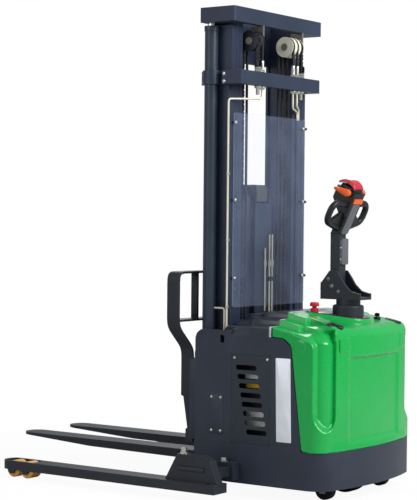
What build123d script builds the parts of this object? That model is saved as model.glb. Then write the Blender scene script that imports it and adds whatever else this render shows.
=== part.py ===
from build123d import *
from math import cos, radians, sin
import os

os.makedirs("parts", exist_ok=True)

# Pallet stacker, millimetres. +X points to the operator, -X to the fork tips,
# +Y to the operator's right, +Z up. The origin is on the floor under the middle
# of the overall length. Places along X are written from the mast datum, which
# is the rear face of the bar on top of the mast.

# Overall reach
FORK_REACH = 1322.0
BODY_REACH = 530.0
DATUM_X = (FORK_REACH - BODY_REACH) / 2

# Clearances
SEAT_GAP = 0.3
SHAFT_GAP = 0.05
SLIDE_GAP = 0.5
TURRET_PLAY = 2.0
RAIL_GAP = 2.0

# Mast rails, three nested stages of channel on each side
RAIL_FRONT = -206.0
RAIL_DEPTH = 146.0
RAIL_REAR = RAIL_FRONT + RAIL_DEPTH
RAIL_MID = (RAIL_FRONT + RAIL_REAR) / 2
RAIL_FLANGE = 12.0
OUTER_Y = 288.0
OUTER_WIDTH = 32.0
MIDDLE_WIDTH = 24.0
INNER_WIDTH = 22.0
RAIL_WEB = 9.0
MIDDLE_Y = OUTER_Y - OUTER_WIDTH - RAIL_GAP
INNER_Y = MIDDLE_Y - MIDDLE_WIDTH - RAIL_GAP
INNER_EDGE_Y = INNER_Y - INNER_WIDTH
OUTER_BOTTOM = 40.0
OUTER_TOP = 2028.0
MIDDLE_BOTTOM = 45.0
MIDDLE_CROSS_HEIGHT = 40.0
STAGE_GAP = 10.0
INNER_BOTTOM = MIDDLE_BOTTOM + MIDDLE_CROSS_HEIGHT + STAGE_GAP
INNER_CROSS_HEIGHT = 40.0
INNER_CROSS_TOP = INNER_BOTTOM + INNER_CROSS_HEIGHT
INNER_TOP = 2094.0
CROSS_INSET = 16.0
INNER_CROSS_INSET = 4.0
REAR_PLATE = 10.0
LOW_PLATE_Z = (60.0, 180.0)
HIGH_PLATE_Z = (560.0, 640.0)
INNER_HEAD_Z = (1890.0, 1990.0)
INNER_HEAD_PLATE = 14.0
ROLLER_PLAY = 0.5
ROLLER_SIDE_PLAY = 1.0
ROLLER_STUB_R = 14.0
MIDDLE_ROLLER_Z = (110.0, 410.0)
INNER_ROLLER_Z = (160.0, 460.0)
CARRIAGE_ROLLER_Z = (252.0, 520.0)

# Bar on top of the middle stage
YOKE_TOP = 2100.0
YOKE_HEIGHT = 65.0
YOKE_BOTTOM = YOKE_TOP - YOKE_HEIGHT
YOKE_EDGE = 40.0
YOKE_BAR = 30.0
YOKE_ARM_FRONT = -179.0
YOKE_CORNER = 8.0

# Bar across the outer stage, with the saddles that hold the lift cylinders
BAR_DROP = (332.0, 272.0)
BAR_X = (-20.0, 16.0)
BAR_HALF = 326.0
BAR_ARM_GAP = 1.5
SADDLE_WALL = 9.0
SADDLE_EAR = 12.0
SADDLE_EDGE = 12.0
SADDLE_BOLT_STEP = 107.0
BAR_CORNER = 8.0

# Lift cylinders beside the mast
CYLINDER_X = -147.0
CYLINDER_Y = 320.0
CYLINDER_R = 29.0
CYLINDER_TOP = 2022.0
CYLINDER_WALL = 8.0
GLAND_HEIGHT = 22.0
GLAND_R = 32.0
ROD_R = 17.5
ROD_LENGTH = 1780.0

# Chain sheaves under the top bar, and the hose pulleys beside them
SHEAVE_R = 40.0
SHEAVE_Z = 1965.0
CHAIN_X = 3.0
SHEAVE_X = CHAIN_X - SHEAVE_R
CHAIN_Y = 179.0
CHAIN_WIDTH = 19.0
CHAIN_THICK = 14.0
SHEAVE_FLANGE = 3.0
SHEAVE_RIM = 6.0
GROOVE_PLAY = 0.5
AXLE_R = 12.0
HOSE_R = 6.0
HOSE_STEP = 34.0
PULLEY_HALF = 11.0
BRACKET_PLATE = 8.0
BRACKET_HALF = 27.0
BRACKET_DROP = 28.0
ANCHOR_RISE = 52.0
ANCHOR_HEIGHT = 30.0
ANCHOR_ROD_R = 8.0
ANCHOR_NUT_R = 13.0
ANCHOR_NUT = 12.0
ANCHOR_TAIL = 40.0
FITTING_R = 9.0
FRONT_ANCHOR = 35.0

# Free lift cylinder in the middle of the inner stage
FREE_X = -130.0
FREE_R = 35.0
FREE_WALL = 7.0
FREE_TOP = 1190.0
FREE_ROD_R = 22.0
FREE_ROD_LENGTH = 1000.0
GUIDE_GAP = 4.0
GUIDE_PLATE = 4.0
GUIDE_HALF = 68.0
GUIDE_DROP = 37.0
HEAD_TOP = 1338.0
HEAD_HALF = 72.0
HEAD_BLOCK = 30.0
HEAD_SHEAVE_Y = 55.0
HEAD_SHEAVE_HALF = 12.0
HEAD_CHAIN_WIDTH = 15.0
HEAD_CHAIN_THICK = 12.0

# Fork carriage
CARRIAGE_BAR_X = (-250.0, -226.0)
CARRIAGE_HALF = 338.0
LOWER_BAR_Z = (204.0, 259.0)
UPPER_BAR_Z = (505.0, 569.0)
SIDE_ARM_Y = (178.0, 192.0)
SIDE_ARM_REAR = -105.0
SIDE_ARM_Z = (224.0, 548.0)
LUG_HALF_Y = 14.0
LUG_DROP = 25.0

# Forks
FORK_TOP = 145.0
FORK_HEEL = 40.0
FORK_TIP = 10.0
TAPER_LENGTH = 430.0
TAPER_THICK = 34.0
FORK_WIDTH = 116.0
FORK_Y = 166.0
SHANK_TOP = 590.0
SHANK_THICK = 40.0
HOOK_LIP = 10.0
HOOK_DEPTH = 16.0
HOOK_GAP = 0.6
HEEL_RADIUS = 30.0
TIP_FLAT = 2.0

# Load backrest
BACKREST_X = (-276.0, -211.0)
BACKREST_HALF = 457.0
BACKREST_BAR = 10.0
BACKREST_TOP = 953.0
BACKREST_RAIL_Z = 739.0
BACKREST_JOG_Z = (612.0, 713.0)
BACKREST_CORNER = 55.0
SIDE_STEP_Z = 404.0
SIDE_STEP = 12.0
SIDE_WAIST = 36.0
SLAT_DEPTH = 36.0
SLAT_STEP = 117.0
SLAT_COUNT = 6

# Straddle legs
LEG_OUTER = 621.0
LEG_WIDTH = 96.0
LEG_Z = (36.0, 76.0)
LEG_TIP = -1092.0
LEG_REAR = 95.0
LEG_TIP_FLAT = 8.0
LOAD_ROLLER_R = 38.0
LOAD_ROLLER_X = (-1028.0, -948.0)
LOAD_ROLLER_WIDTH = 66.0
LOAD_AXLE_R = 9.0
LOAD_ROLLER_EDGE = 4.0
YOKE_SIDE = 11.0
LOBE_R = 20.0
POCKET_PLAY = 4.0
GUSSET_INSET = 46.0
GUSSET_THICK = 44.0
GUSSET_FOOT_X = -174.0
GUSSET_HEAD_X = (-112.0, 17.0)
GUSSET_BACK_X = 58.0
GUSSET_BACK_Z = 171.0
GUSSET_TOP = 188.0
STOP_BOLT_X = -90.0
STOP_BOLT_R = 9.0
STOP_BOLT_HEIGHT = 26.0
ARM_X = (-34.0, 50.0)
ARM_Z = (88.0, 130.0)
ARM_END_Y = 120.0
RECEIVER_WALL = 11.0
COLLAR_REACH = 45.0
COLLAR_RIM = 6.0

# Clear guard sheet behind the mast
GUARD_STANDOFF = 14.0
GUARD_THICK = 4.0
GUARD_HALF = 292.0
GUARD_Z = (798.0, 1646.0)
GUARD_CORNER = 12.0
GUARD_BOLT_Y = 274.0
GUARD_BOLT_Z = (880.0, 1225.0, 1600.0)
GUARD_BOLT_R = 4.0
GUARD_SPACER_R = 7.0

# Steel pipes
PIPE_R = 4.5
PIPE_BEND = 22.0
PIPE_X = -53.0
PIPE_DROP = 44.0
PIPE_FALL = 8.0
PIPE_STEP = 13.0
LEFT_PIPE_Y = 322.0
RIGHT_PIPE_Y = 250.0
PORT_RISE = 109.0
PORT_DROP_X = -66.0

# Chassis
CHASSIS_BOTTOM = 56.0
SKIRT_TOP = 215.0
CHASSIS_HALF = 395.0
BOW = 62.0
CORNER_RADIUS = 95.0
SKIRT_WALL = 8.0
CHEEK_X = (-166.0, 19.0)
CHEEK_RISE = 20.0
CHEEK_RADIUS = 45.0
CHEEK_WALL = 12.0
CHEEK_BOTTOM = 60.0
WALL_DROP = 71.0
BASE_PLATE = 10.0
FLOOR_Z = 190.0
FRONT_WALL_X = -46.0
FRONT_WALL = 6.0
BULKHEAD_AHEAD = 143.0
BULKHEAD = 10.0
DRIVE_PLATE_Z = (225.0, 240.0)
DRIVE_PLATE_BEHIND = 57.0
DRIVE_PLATE_HALF = 300.0
RIB_LENGTH = 25.0
RIB_FOOT = 150.0
RIB_DROP = 15.0
RIB_Y = 120.0
CHEEK_SCREW_X = (-77.0, -30.0)
CHEEK_SCREW_Z = (416.0, 272.0)
SCREW_INSET = 15.0
CLAMP_BOLT_R = 15.0
CLAMP_BOLT_HEIGHT = 16.0
CABLE_HOLE_X = -25.0
CABLE_HOLE_Z = 668.0
CABLE_HOLE_R = 11.0
CABLE_HOLE_HALF = 7.0

# Vent panels let into the chassis sides
PANEL_FRONT = 25.0
PANEL_REAR_GAP = 7.0
PANEL_Z = (228.0, 606.0)
PANEL_THICK = 5.0
PANEL_GAP = 1.0
PANEL_LIP = 10.0
PANEL_CORNER = 8.0
SLOT_COUNT = 8
SLOT_HEIGHT = 22.0
SLOT_FRONT_GAP = 22.0
SLOT_REAR_GAP = 14.4
SLOT_FIRST_Z = 551.0
SLOT_STEP_X = 7.8
SLOT_STEP_Z = 39.0
SCREW_R = 6.0
SCREW_HEAD = 4.0

# Hood and battery cover share one stepped section
DECK_Z = 757.0
DECK_FALL = 0.2
DECK_HALF = 292.0
STEP_HALF = 345.0
STEP_DROP = 29.0
SHOULDER_DROP = 55.0
HOOD_LAP = 4.0
HOOD_INSET = 3.0
HOOD_REAR_INSET = 12.0
HOOD_SETBACK = 4.0
HOOD_WALL = 12.0
HOOD_SEAM = 3.0
HOOD_EDGE_TOP_AHEAD = 44.0
HOOD_EDGE_DROP = 31.0
HOOD_BEND_AHEAD = 82.0
HOOD_BEND_DROP = 1.0
HOOD_EDGE_FOOT_BEHIND = 11.0
HOOD_ROUND = 24.0
RECESS_HALF = 215.0
RECESS_Z = (232.0, 608.0)
RECESS_DEPTH = 6.0
RECESS_RADIUS = 30.0
CHANNEL_RADIUS = 150.0
CHANNEL_DEPTH = 8.0
CHANNEL_FOOT = 330.0
COVER_FRONT = -34.0
COVER_WALL = 6.0
COVER_SEAM = 4.0
COVER_ROUND = 4.0

# Battery and power pack
BATTERY_FRONT = -15.0
BATTERY_REAR_GAP = 20.0
BATTERY_HALF = 320.0
BATTERY_HEIGHT = 440.0
PACK_AHEAD = (123.0, 38.0)
PACK_Y = (175.0, 330.0)
PACK_HEIGHT = 190.0
PUMP_R = 48.0
PUMP_HEIGHT = 150.0
BATTERY_EDGE = 10.0

# Drive unit on the steering axis
STEER_BACK = 162.0
DRIVE_R = 100.0
DRIVE_WIDTH = 70.0
DRIVE_AXLE_R = 20.0
DRIVE_EDGE = 10.0
TURRET_R = 84.0
TURRET_BOTTOM = 206.0
TURRET_FLANGE_R = 98.0
TURRET_FLANGE = 15.0
GEARBOX_GAP = 6.0
GEARBOX_THICK = 44.0
GEARBOX_HALF = 50.0
GEARBOX_FOOT = 62.0
MOTOR_R = 74.0
MOTOR_TOP = 520.0
COLUMN_R = 28.0

# Casters
CASTER_BEHIND = 15.0
CASTER_Y = 235.0
CASTER_R = 42.0
CASTER_WIDTH = 38.0
CASTER_TRAIL = 20.0
CASTER_AXLE_R = 7.0
CASTER_CHEEK = 6.0
CASTER_CHEEK_GAP = 2.0
CASTER_PLATE_R = 34.0
CASTER_PLATE_Z = (106.0, 118.0)
CASTER_STEM_R = 12.0
CASTER_STEM = 60.0
CASTER_BOX = 84.0

# Console, emergency switch and key
CONSOLE_THICK = 6.0
CONSOLE_R = 96.0
CONSOLE_TAIL_R = 33.0
ESTOP_AHEAD = 106.0
ESTOP_Y = -108.0
ESTOP_R = 20.0
ESTOP_CAP = 18.0
ESTOP_LIFT = 24.0
ESTOP_STEM_R = 10.0
ESTOP_BASE_R = 17.0
ESTOP_BASE = 14.0
KEY_BEHIND = 52.0
KEY_Y = 165.0
KEY_BARREL_R = 15.0
KEY_BARREL = 10.0
KEY_STEM_R = 5.0
KEY_BOW = (34.0, 7.0, 18.0)

# Tiller
COLLAR_R = 68.0
COLLAR_HEIGHT = 52.0
COLLAR_ROUND = 10.0
NECK_R = 53.0
NECK_LIFT = 5.0
NECK_RISE = 35.0
PIVOT_AHEAD = 54.0
PIVOT_RISE = 45.0
PIVOT_R = 11.0
BRACKET_Y = (40.0, 50.0)
BRACKET_AHEAD = 112.0
BRACKET_BEHIND = 86.0
BRACKET_CREST_AHEAD = 50.0
BRACKET_CREST_RISE = 67.0
BRACKET_CREST = 18.0
BRACKET_SOLE = 12.0
BRACKET_SHOULDER_RISE = 10.0
BRACKET_CURVE = ((-11.0, 84.0), (10.0, 52.0), (40.0, 25.0), (70.0, 17.0))
BRACKET_LIP = 15.0
ARM_DEPTH = 48.0
ARM_HALF = 31.0
ARM_EDGE = 8.0
ARM_LENGTH = 227.0
ARM_COVER = 12.0
ARM_COVER_HALF = 27.0
ARM_COVER_RISE = 94.0
ARM_COVER_DROP = 22.0
HEAD_LEAN = 25.0
HEAD_LENGTH = 203.0
NECK_LENGTH = 92.0
NECK_HALF = 34.0
NECK_DEPTH = 46.0
HEAD_WIDE = 48.0
HEAD_FACE = 26.0
HEAD_NOSE = 74.0
HEAD_NOSE_FOOT = 150.0
HEAD_CHIN = 80.0
HEAD_EDGE = 10.0
LOOP_R = 14.0
LOOP_REACH = 148.0
LOOP_FOOT = 20.0
LOOP_HEEL = 60.0
LOOP_CREST = 151.0
LOOP_JOIN = 139.0
LOOP_BEND = 40.0
WEB_JOIN = 136.0
WEB_HALF = 8.0
WING_SHAFT_R = 7.0
WING_AT = 189.0
WING_LENGTH = 76.0
WING_THICK = 22.0
WING_WIDTH = 28.0
WING_GAP = 1.0
WING_OFFSET = 28.0
BELLY_OFFSET = 4.0
BELLY_GAP = 9.0
BELLY_THICK = 14.0
BELLY_HALF = 38.0
BELLY_AHEAD = 33.0
BELLY_REACH = 43.0
BELLY_EDGE = 10.0
BELLY_RISE = 30.0
BELLY_STEM_R = 8.0
BELLY_STEM = 36.0
HORN_HALF = 36.0
HORN_TALL = 22.0
HORN_AT = 168.0
HORN_PROUD = 6.0
HORN_SEAT = 12.0
HORN_TRAVEL = 4.0

# Sizes that follow from the ones above
SIDES = {"left": -1, "right": 1}
WALL_INNER = CHASSIS_HALF - CHEEK_WALL
STEER_X = BODY_REACH - STEER_BACK
CORNER_X = BODY_REACH - BOW
BULKHEAD_X = STEER_X - BULKHEAD_AHEAD
DRIVE_PLATE_REAR = STEER_X + DRIVE_PLATE_BEHIND
HOOD_FRONT = BULKHEAD_X + HOOD_LAP
HOOD_EDGE_TOP_X = STEER_X - HOOD_EDGE_TOP_AHEAD
HOOD_BEND_X = STEER_X - HOOD_BEND_AHEAD
HOOD_EDGE_FOOT_X = STEER_X + HOOD_EDGE_FOOT_BEHIND
PANEL_X = (PANEL_FRONT, HOOD_FRONT - PANEL_REAR_GAP)
SLOT_SPAN = PANEL_X[1] - PANEL_X[0] - SLOT_FRONT_GAP - SLOT_REAR_GAP
SLOT_LENGTH = SLOT_SPAN - (SLOT_COUNT - 1) * SLOT_STEP_X
SLOT_FIRST_X = PANEL_X[0] + SLOT_FRONT_GAP + SLOT_LENGTH / 2
BATTERY_X = (BATTERY_FRONT, BULKHEAD_X - BATTERY_REAR_GAP)
PACK_X = (STEER_X - PACK_AHEAD[0], STEER_X - PACK_AHEAD[1])
CASTER_X = STEER_X + CASTER_BEHIND
ESTOP_X = STEER_X - ESTOP_AHEAD
KEY_X = STEER_X + KEY_BEHIND
PIVOT_X = STEER_X - PIVOT_AHEAD
BRACKET_X = (STEER_X - BRACKET_AHEAD, STEER_X + BRACKET_BEHIND)
BRACKET_CREST_X = STEER_X - BRACKET_CREST_AHEAD
COVER_DECK_Z = DECK_Z + DECK_FALL * (STEER_X - HOOD_FRONT)
COVER_STEP_Z = COVER_DECK_Z - STEP_DROP
COVER_SHOULDER_Z = COVER_DECK_Z - SHOULDER_DROP
ESTOP_DECK_Z = DECK_Z + DECK_FALL * ESTOP_AHEAD
KEY_DECK_Z = DECK_Z - DECK_FALL * KEY_BEHIND
WALL_TOP = DECK_Z - WALL_DROP
CHEEK_TOP = WALL_TOP + CHEEK_RISE
HOOD_EDGE_TOP_Z = WALL_TOP - HOOD_EDGE_DROP
HOOD_BEND_Z = WALL_TOP - HOOD_BEND_DROP
PORT_Z = WALL_TOP + PORT_RISE
GUSSET_Y = LEG_OUTER - GUSSET_INSET
BAR_Z = (YOKE_TOP - BAR_DROP[0], YOKE_TOP - BAR_DROP[1])
ANCHOR_TOP = BAR_Z[1] + ANCHOR_RISE
YOKE_HALF = CYLINDER_Y + YOKE_EDGE
COLLAR_Y = CHASSIS_HALF + COLLAR_REACH
RECEIVER_X = (ARM_X[0] - SLIDE_GAP - RECEIVER_WALL, ARM_X[1] + SLIDE_GAP + RECEIVER_WALL)
RECEIVER_Z = (ARM_Z[0] - SLIDE_GAP - RECEIVER_WALL, ARM_Z[1] + SLIDE_GAP + RECEIVER_WALL)
BORE_X = (ARM_X[0] - SLIDE_GAP, ARM_X[1] + SLIDE_GAP)
BORE_Z = (ARM_Z[0] - SLIDE_GAP, ARM_Z[1] + SLIDE_GAP)
HOSE_Y = {"left": [CHAIN_Y - HOSE_STEP], "right": [CHAIN_Y - HOSE_STEP, CHAIN_Y - 2 * HOSE_STEP]}
FRONT_RUN_X = SHEAVE_X - SHEAVE_R
BAR_ARM_FRONT = CYLINDER_X + SADDLE_BOLT_STEP / 2 + SCREW_R + BAR_ARM_GAP
CONSOLE_TOP = DECK_Z + CONSOLE_THICK
ESTOP_SEAT_Z = ESTOP_DECK_Z + CONSOLE_THICK
COLLAR_TOP = CONSOLE_TOP + COLLAR_HEIGHT
NECK_FOOT = CONSOLE_TOP + NECK_LIFT
NECK_TOP = COLLAR_TOP + NECK_RISE
PIVOT_Z = NECK_TOP + PIVOT_RISE
BRACKET_CREST_Z = PIVOT_Z + BRACKET_CREST_RISE
BRACKET_SHOULDER_Z = PIVOT_Z + BRACKET_SHOULDER_RISE
ARM_TOP = PIVOT_Z + ARM_LENGTH
COVER_FOOT_Z = WALL_TOP + SEAT_GAP
ROLLER_R = RAIL_DEPTH / 2 - RAIL_FLANGE - ROLLER_PLAY
HEAD_SHEAVE_Z = HEAD_TOP - SHEAVE_R - SHEAVE_RIM
FORK_BACK = CARRIAGE_BAR_X[0] - SEAT_GAP
GUARD_X = (RAIL_REAR + GUARD_STANDOFF, RAIL_REAR + GUARD_STANDOFF + GUARD_THICK)
BOW_RADIUS = (CHASSIS_HALF ** 2 + BOW ** 2) / (2 * BOW)
BOW_X = BODY_REACH - BOW_RADIUS
CORNER_Y = CHASSIS_HALF - CORNER_RADIUS
CORNER_CENTRE_X = BOW_X + ((BOW_RADIUS - CORNER_RADIUS) ** 2 - CORNER_Y ** 2) ** 0.5


def along(side, near, far):
    """Y limits of a piece on one side of the middle plane."""
    return tuple(sorted((side * near, side * far)))


def both(half):
    """Y limits of a piece that reaches as far to each side."""
    return (-half, half)


def block(x, y, z, mode=Mode.ADD):
    """A box between limits on each axis."""
    with Locations((DATUM_X + (x[0] + x[1]) / 2, (y[0] + y[1]) / 2, (z[0] + z[1]) / 2)):
        Box(x[1] - x[0], y[1] - y[0], z[1] - z[0], mode=mode)


def post(x, y, z, radius, mode=Mode.ADD):
    """A round upright between two heights."""
    with Locations((DATUM_X + x, y, (z[0] + z[1]) / 2)):
        Cylinder(radius, z[1] - z[0], mode=mode)


def pin(x, y, z, radius, mode=Mode.ADD):
    """A round bar along Y between two limits."""
    with Locations((DATUM_X + x, (y[0] + y[1]) / 2, z)):
        Cylinder(radius, y[1] - y[0], rotation=(90, 0, 0), mode=mode)


def stud(x, y, z, radius, mode=Mode.ADD):
    """A round bar along X between two limits."""
    with Locations((DATUM_X + (x[0] + x[1]) / 2, y, z)):
        Cylinder(radius, x[1] - x[0], rotation=(0, 90, 0), mode=mode)


def plate(points, y, front_radius=0, mode=Mode.ADD):
    """An outline in X and Z, as thick as its two Y limits say, its top front corner rounded."""
    with BuildSketch(Plane.XZ.offset(-y[1])) as outline:
        with BuildLine():
            Polyline(*[(DATUM_X + x, z) for x, z in points], close=True)
        make_face()
        if front_radius:
            fillet(outline.vertices().group_by(Axis.Y)[-1].sort_by(Axis.X)[0], front_radius)
    extrude(outline.sketch, amount=y[1] - y[0], mode=mode)


def body_plan(z, front, side_inset, rear_inset):
    """Outline of the body seen from above, drawn in from the skirt's side and rear."""
    half = CHASSIS_HALF - side_inset
    corner = CORNER_X - rear_inset
    with BuildSketch(Plane.XY.offset(z)) as outline:
        with BuildLine():
            sides = Polyline(
                (DATUM_X + corner, half),
                (DATUM_X + front, half),
                (DATUM_X + front, -half),
                (DATUM_X + corner, -half),
            )
            ThreePointArc(sides @ 1, (DATUM_X + BODY_REACH - rear_inset, 0), sides @ 0)
        make_face()
        fillet(outline.vertices().sort_by(Axis.X)[-2:], CORNER_RADIUS - rear_inset)
    return outline.sketch


def deck_height(x, drop):
    """Height of the sloping deck at a place along X, less a drop."""
    return DECK_Z - DECK_FALL * (x - STEER_X) - drop


def stepped_body(layers, front, wall):
    """Solid under the sloping deck: body plans stacked up, each cut off at its own drop."""
    rear = BODY_REACH + HOOD_WALL
    crest = COVER_DECK_Z + HOOD_WALL
    with BuildPart() as body:
        for draw_in, setback, drop in layers:
            insets = (HOOD_INSET + wall + draw_in, HOOD_REAR_INSET + wall + setback)
            extrude(body_plan(SKIRT_TOP, front, *insets), amount=crest - SKIRT_TOP)
            above = [
                (front - HOOD_WALL, deck_height(front - HOOD_WALL, drop + wall)),
                (rear, deck_height(rear, drop + wall)),
                (rear, crest),
                (front - HOOD_WALL, crest),
            ]
            plate(above, both(CHASSIS_HALF), mode=Mode.SUBTRACT)
    return body.part


def rail(side, outer_y, width, z):
    """One mast channel, with its web outside and its flanges turned in."""
    block((RAIL_FRONT, RAIL_REAR), along(side, outer_y - width, outer_y), z)
    hollow = (RAIL_FRONT + RAIL_FLANGE, RAIL_REAR - RAIL_FLANGE)
    block(hollow, along(side, outer_y - width, outer_y - RAIL_WEB), z, Mode.SUBTRACT)


def mast_roller(side, carrier_y, rail_y, width, z):
    """A guide roller in the channel outside its carrier, with its stub axle."""
    inside = (rail_y - width + ROLLER_SIDE_PLAY, rail_y - RAIL_WEB - ROLLER_SIDE_PLAY)
    pin(RAIL_MID, along(side, *inside), z, ROLLER_R)
    pin(RAIL_MID, along(side, carrier_y, inside[0]), z, ROLLER_STUB_R)


def save(piece, name):
    """Label a finished piece and write it."""
    piece.part.label = name
    export_step(piece.part, f"parts/{name}.step")


# Chassis: skirt, cheeks, side walls, battery bay and the plate over the drive wheel
with BuildPart() as chassis_frame:
    extrude(body_plan(CHASSIS_BOTTOM, CHEEK_X[0], 0, 0), amount=SKIRT_TOP - CHASSIS_BOTTOM)
    inside_plan = body_plan(CHASSIS_BOTTOM, CHEEK_X[0] - SKIRT_WALL, SKIRT_WALL, SKIRT_WALL)
    extrude(inside_plan, amount=SKIRT_TOP - CHASSIS_BOTTOM, mode=Mode.SUBTRACT)
    block((FRONT_WALL_X, BULKHEAD_X), both(WALL_INNER), (FLOOR_Z, FLOOR_Z + BASE_PLATE))
    block((FRONT_WALL_X, FRONT_WALL_X + FRONT_WALL), both(WALL_INNER), (FLOOR_Z, WALL_TOP))
    block((BULKHEAD_X, BULKHEAD_X + BULKHEAD), both(WALL_INNER), (CHASSIS_BOTTOM, WALL_TOP))
    block((BULKHEAD_X, DRIVE_PLATE_REAR), both(DRIVE_PLATE_HALF), DRIVE_PLATE_Z)
    for side in SIDES.values():
        cheek = [
            (CHEEK_X[0], CHEEK_BOTTOM),
            (CHEEK_X[1], CHEEK_BOTTOM),
            (CHEEK_X[1], CHEEK_TOP),
            (CHEEK_X[0], CHEEK_TOP),
        ]
        wall = [
            (CHEEK_X[1], SKIRT_TOP),
            (HOOD_EDGE_FOOT_X - HOOD_SEAM, SKIRT_TOP),
            (HOOD_EDGE_TOP_X - HOOD_SEAM, HOOD_EDGE_TOP_Z - HOOD_SEAM),
            (HOOD_BEND_X - HOOD_SEAM, HOOD_BEND_Z - HOOD_SEAM),
            (HOOD_FRONT, WALL_TOP),
            (CHEEK_X[1], WALL_TOP),
        ]
        rib = [
            (DRIVE_PLATE_REAR - RIB_LENGTH, RIB_FOOT),
            (BODY_REACH - SKIRT_WALL, RIB_FOOT),
            (BODY_REACH - SKIRT_WALL, SKIRT_TOP - RIB_DROP),
            (DRIVE_PLATE_REAR, DRIVE_PLATE_Z[0]),
            (DRIVE_PLATE_REAR - RIB_LENGTH, DRIVE_PLATE_Z[0]),
        ]
        skin = along(side, WALL_INNER, CHASSIS_HALF)
        plate(cheek, skin, CHEEK_RADIUS)
        plate(wall, skin)
        plate(rib, along(side, RIB_Y, RIB_Y + BASE_PLATE))
        foot_z = (CHASSIS_BOTTOM, CHASSIS_BOTTOM + BASE_PLATE)
        block((CHEEK_X[0], FRONT_WALL_X), along(side, OUTER_Y, WALL_INNER), foot_z)
        caster_x = (CASTER_X - CASTER_BOX / 2, CASTER_X + CASTER_BOX / 2)
        caster_y = (side * CASTER_Y - CASTER_BOX / 2, side * CASTER_Y + CASTER_BOX / 2)
        block(caster_x, caster_y, (CASTER_PLATE_Z[1] + SEAT_GAP, DRIVE_PLATE_Z[0]))
        stem_z = (CASTER_PLATE_Z[1], CASTER_PLATE_Z[1] + CASTER_STEM + SLIDE_GAP)
        post(CASTER_X, side * CASTER_Y, stem_z, CASTER_STEM_R + SHAFT_GAP, Mode.SUBTRACT)
        rebate_x = (PANEL_X[0] - PANEL_GAP, PANEL_X[1] + PANEL_GAP)
        rebate_z = (PANEL_Z[0] - PANEL_GAP, PANEL_Z[1] + PANEL_GAP)
        rebate_y = along(side, CHASSIS_HALF - PANEL_THICK, CHASSIS_HALF)
        block(rebate_x, rebate_y, rebate_z, Mode.SUBTRACT)
        window_x = (PANEL_X[0] + PANEL_LIP, PANEL_X[1] - PANEL_LIP)
        window_z = (PANEL_Z[0] + PANEL_LIP, PANEL_Z[1] - PANEL_LIP)
        block(window_x, skin, window_z, Mode.SUBTRACT)
        hole_x = (CABLE_HOLE_X - CABLE_HOLE_R, CABLE_HOLE_X + CABLE_HOLE_R)
        hole_ends = (CABLE_HOLE_Z - CABLE_HOLE_HALF, CABLE_HOLE_Z + CABLE_HOLE_HALF)
        block(hole_x, skin, hole_ends, Mode.SUBTRACT)
        for hole_end in hole_ends:
            pin(CABLE_HOLE_X, skin, hole_end, CABLE_HOLE_R, Mode.SUBTRACT)
        block(RECEIVER_X, skin, RECEIVER_Z, Mode.SUBTRACT)
    post(STEER_X, 0, DRIVE_PLATE_Z, TURRET_R + TURRET_PLAY, Mode.SUBTRACT)
save(chassis_frame, "chassis_frame")

# Louvred panels in the side walls
for name, side in SIDES.items():
    with BuildPart() as vent_panel:
        skin = along(side, CHASSIS_HALF - PANEL_THICK, CHASSIS_HALF)
        block(PANEL_X, skin, PANEL_Z)
        fillet(vent_panel.edges().filter_by(Axis.Y), PANEL_CORNER)
        for row in range(SLOT_COUNT):
            slot_x = DATUM_X + SLOT_FIRST_X + row * SLOT_STEP_X
            slot_z = SLOT_FIRST_Z - row * SLOT_STEP_Z
            with BuildSketch(Plane.XZ.offset(-skin[1])) as slot:
                with Locations((slot_x, slot_z)):
                    SlotOverall(SLOT_LENGTH, SLOT_HEIGHT)
            extrude(slot.sketch, amount=PANEL_THICK, mode=Mode.SUBTRACT)
    save(vent_panel, f"{name}_vent_panel")

# Tube across the chassis that the straddle legs slide in, with a clamp collar at each end
with BuildPart() as leg_cross_tube:
    block(RECEIVER_X, both(COLLAR_Y), RECEIVER_Z)
    for side in SIDES.values():
        collar_x = (RECEIVER_X[0] - COLLAR_RIM, RECEIVER_X[1] + COLLAR_RIM)
        collar_z = (RECEIVER_Z[0] - COLLAR_RIM, RECEIVER_Z[1] + COLLAR_RIM)
        block(collar_x, along(side, CHASSIS_HALF, COLLAR_Y), collar_z)
    fillet(leg_cross_tube.edges().filter_by(Axis.Y).group_by(Axis.Z)[-1], COLLAR_RIM / 2)
    block(BORE_X, both(COLLAR_Y), BORE_Z, Mode.SUBTRACT)
save(leg_cross_tube, "leg_cross_tube")

# Battery in its bay
with BuildPart() as battery:
    battery_z = (FLOOR_Z + BASE_PLATE, FLOOR_Z + BASE_PLATE + BATTERY_HEIGHT)
    block(BATTERY_X, both(BATTERY_HALF), battery_z)
    chamfer(battery.edges().filter_by(Axis.Z), BATTERY_EDGE)
save(battery, "battery")

# Hydraulic pump, its motor and the oil tank beside the drive unit
with BuildPart() as power_pack:
    tank_z = (DRIVE_PLATE_Z[1], DRIVE_PLATE_Z[1] + PACK_HEIGHT)
    block(PACK_X, along(-1, *PACK_Y), tank_z)
    fillet(power_pack.edges().filter_by(Axis.Z), BATTERY_EDGE)
    pump_z = (DRIVE_PLATE_Z[1], DRIVE_PLATE_Z[1] + PUMP_HEIGHT)
    post(sum(PACK_X) / 2, sum(PACK_Y) / 2, pump_z, PUMP_R)
save(power_pack, "power_pack")

# Outer mast stage, welded into the chassis
with BuildPart() as outer_mast:
    for side in SIDES.values():
        rail(side, OUTER_Y, OUTER_WIDTH, (OUTER_BOTTOM, OUTER_TOP))
    for plate_z in (LOW_PLATE_Z, HIGH_PLATE_Z):
        block((RAIL_REAR, RAIL_REAR + REAR_PLATE), both(OUTER_Y), plate_z)
save(outer_mast, "outer_mast")

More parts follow.
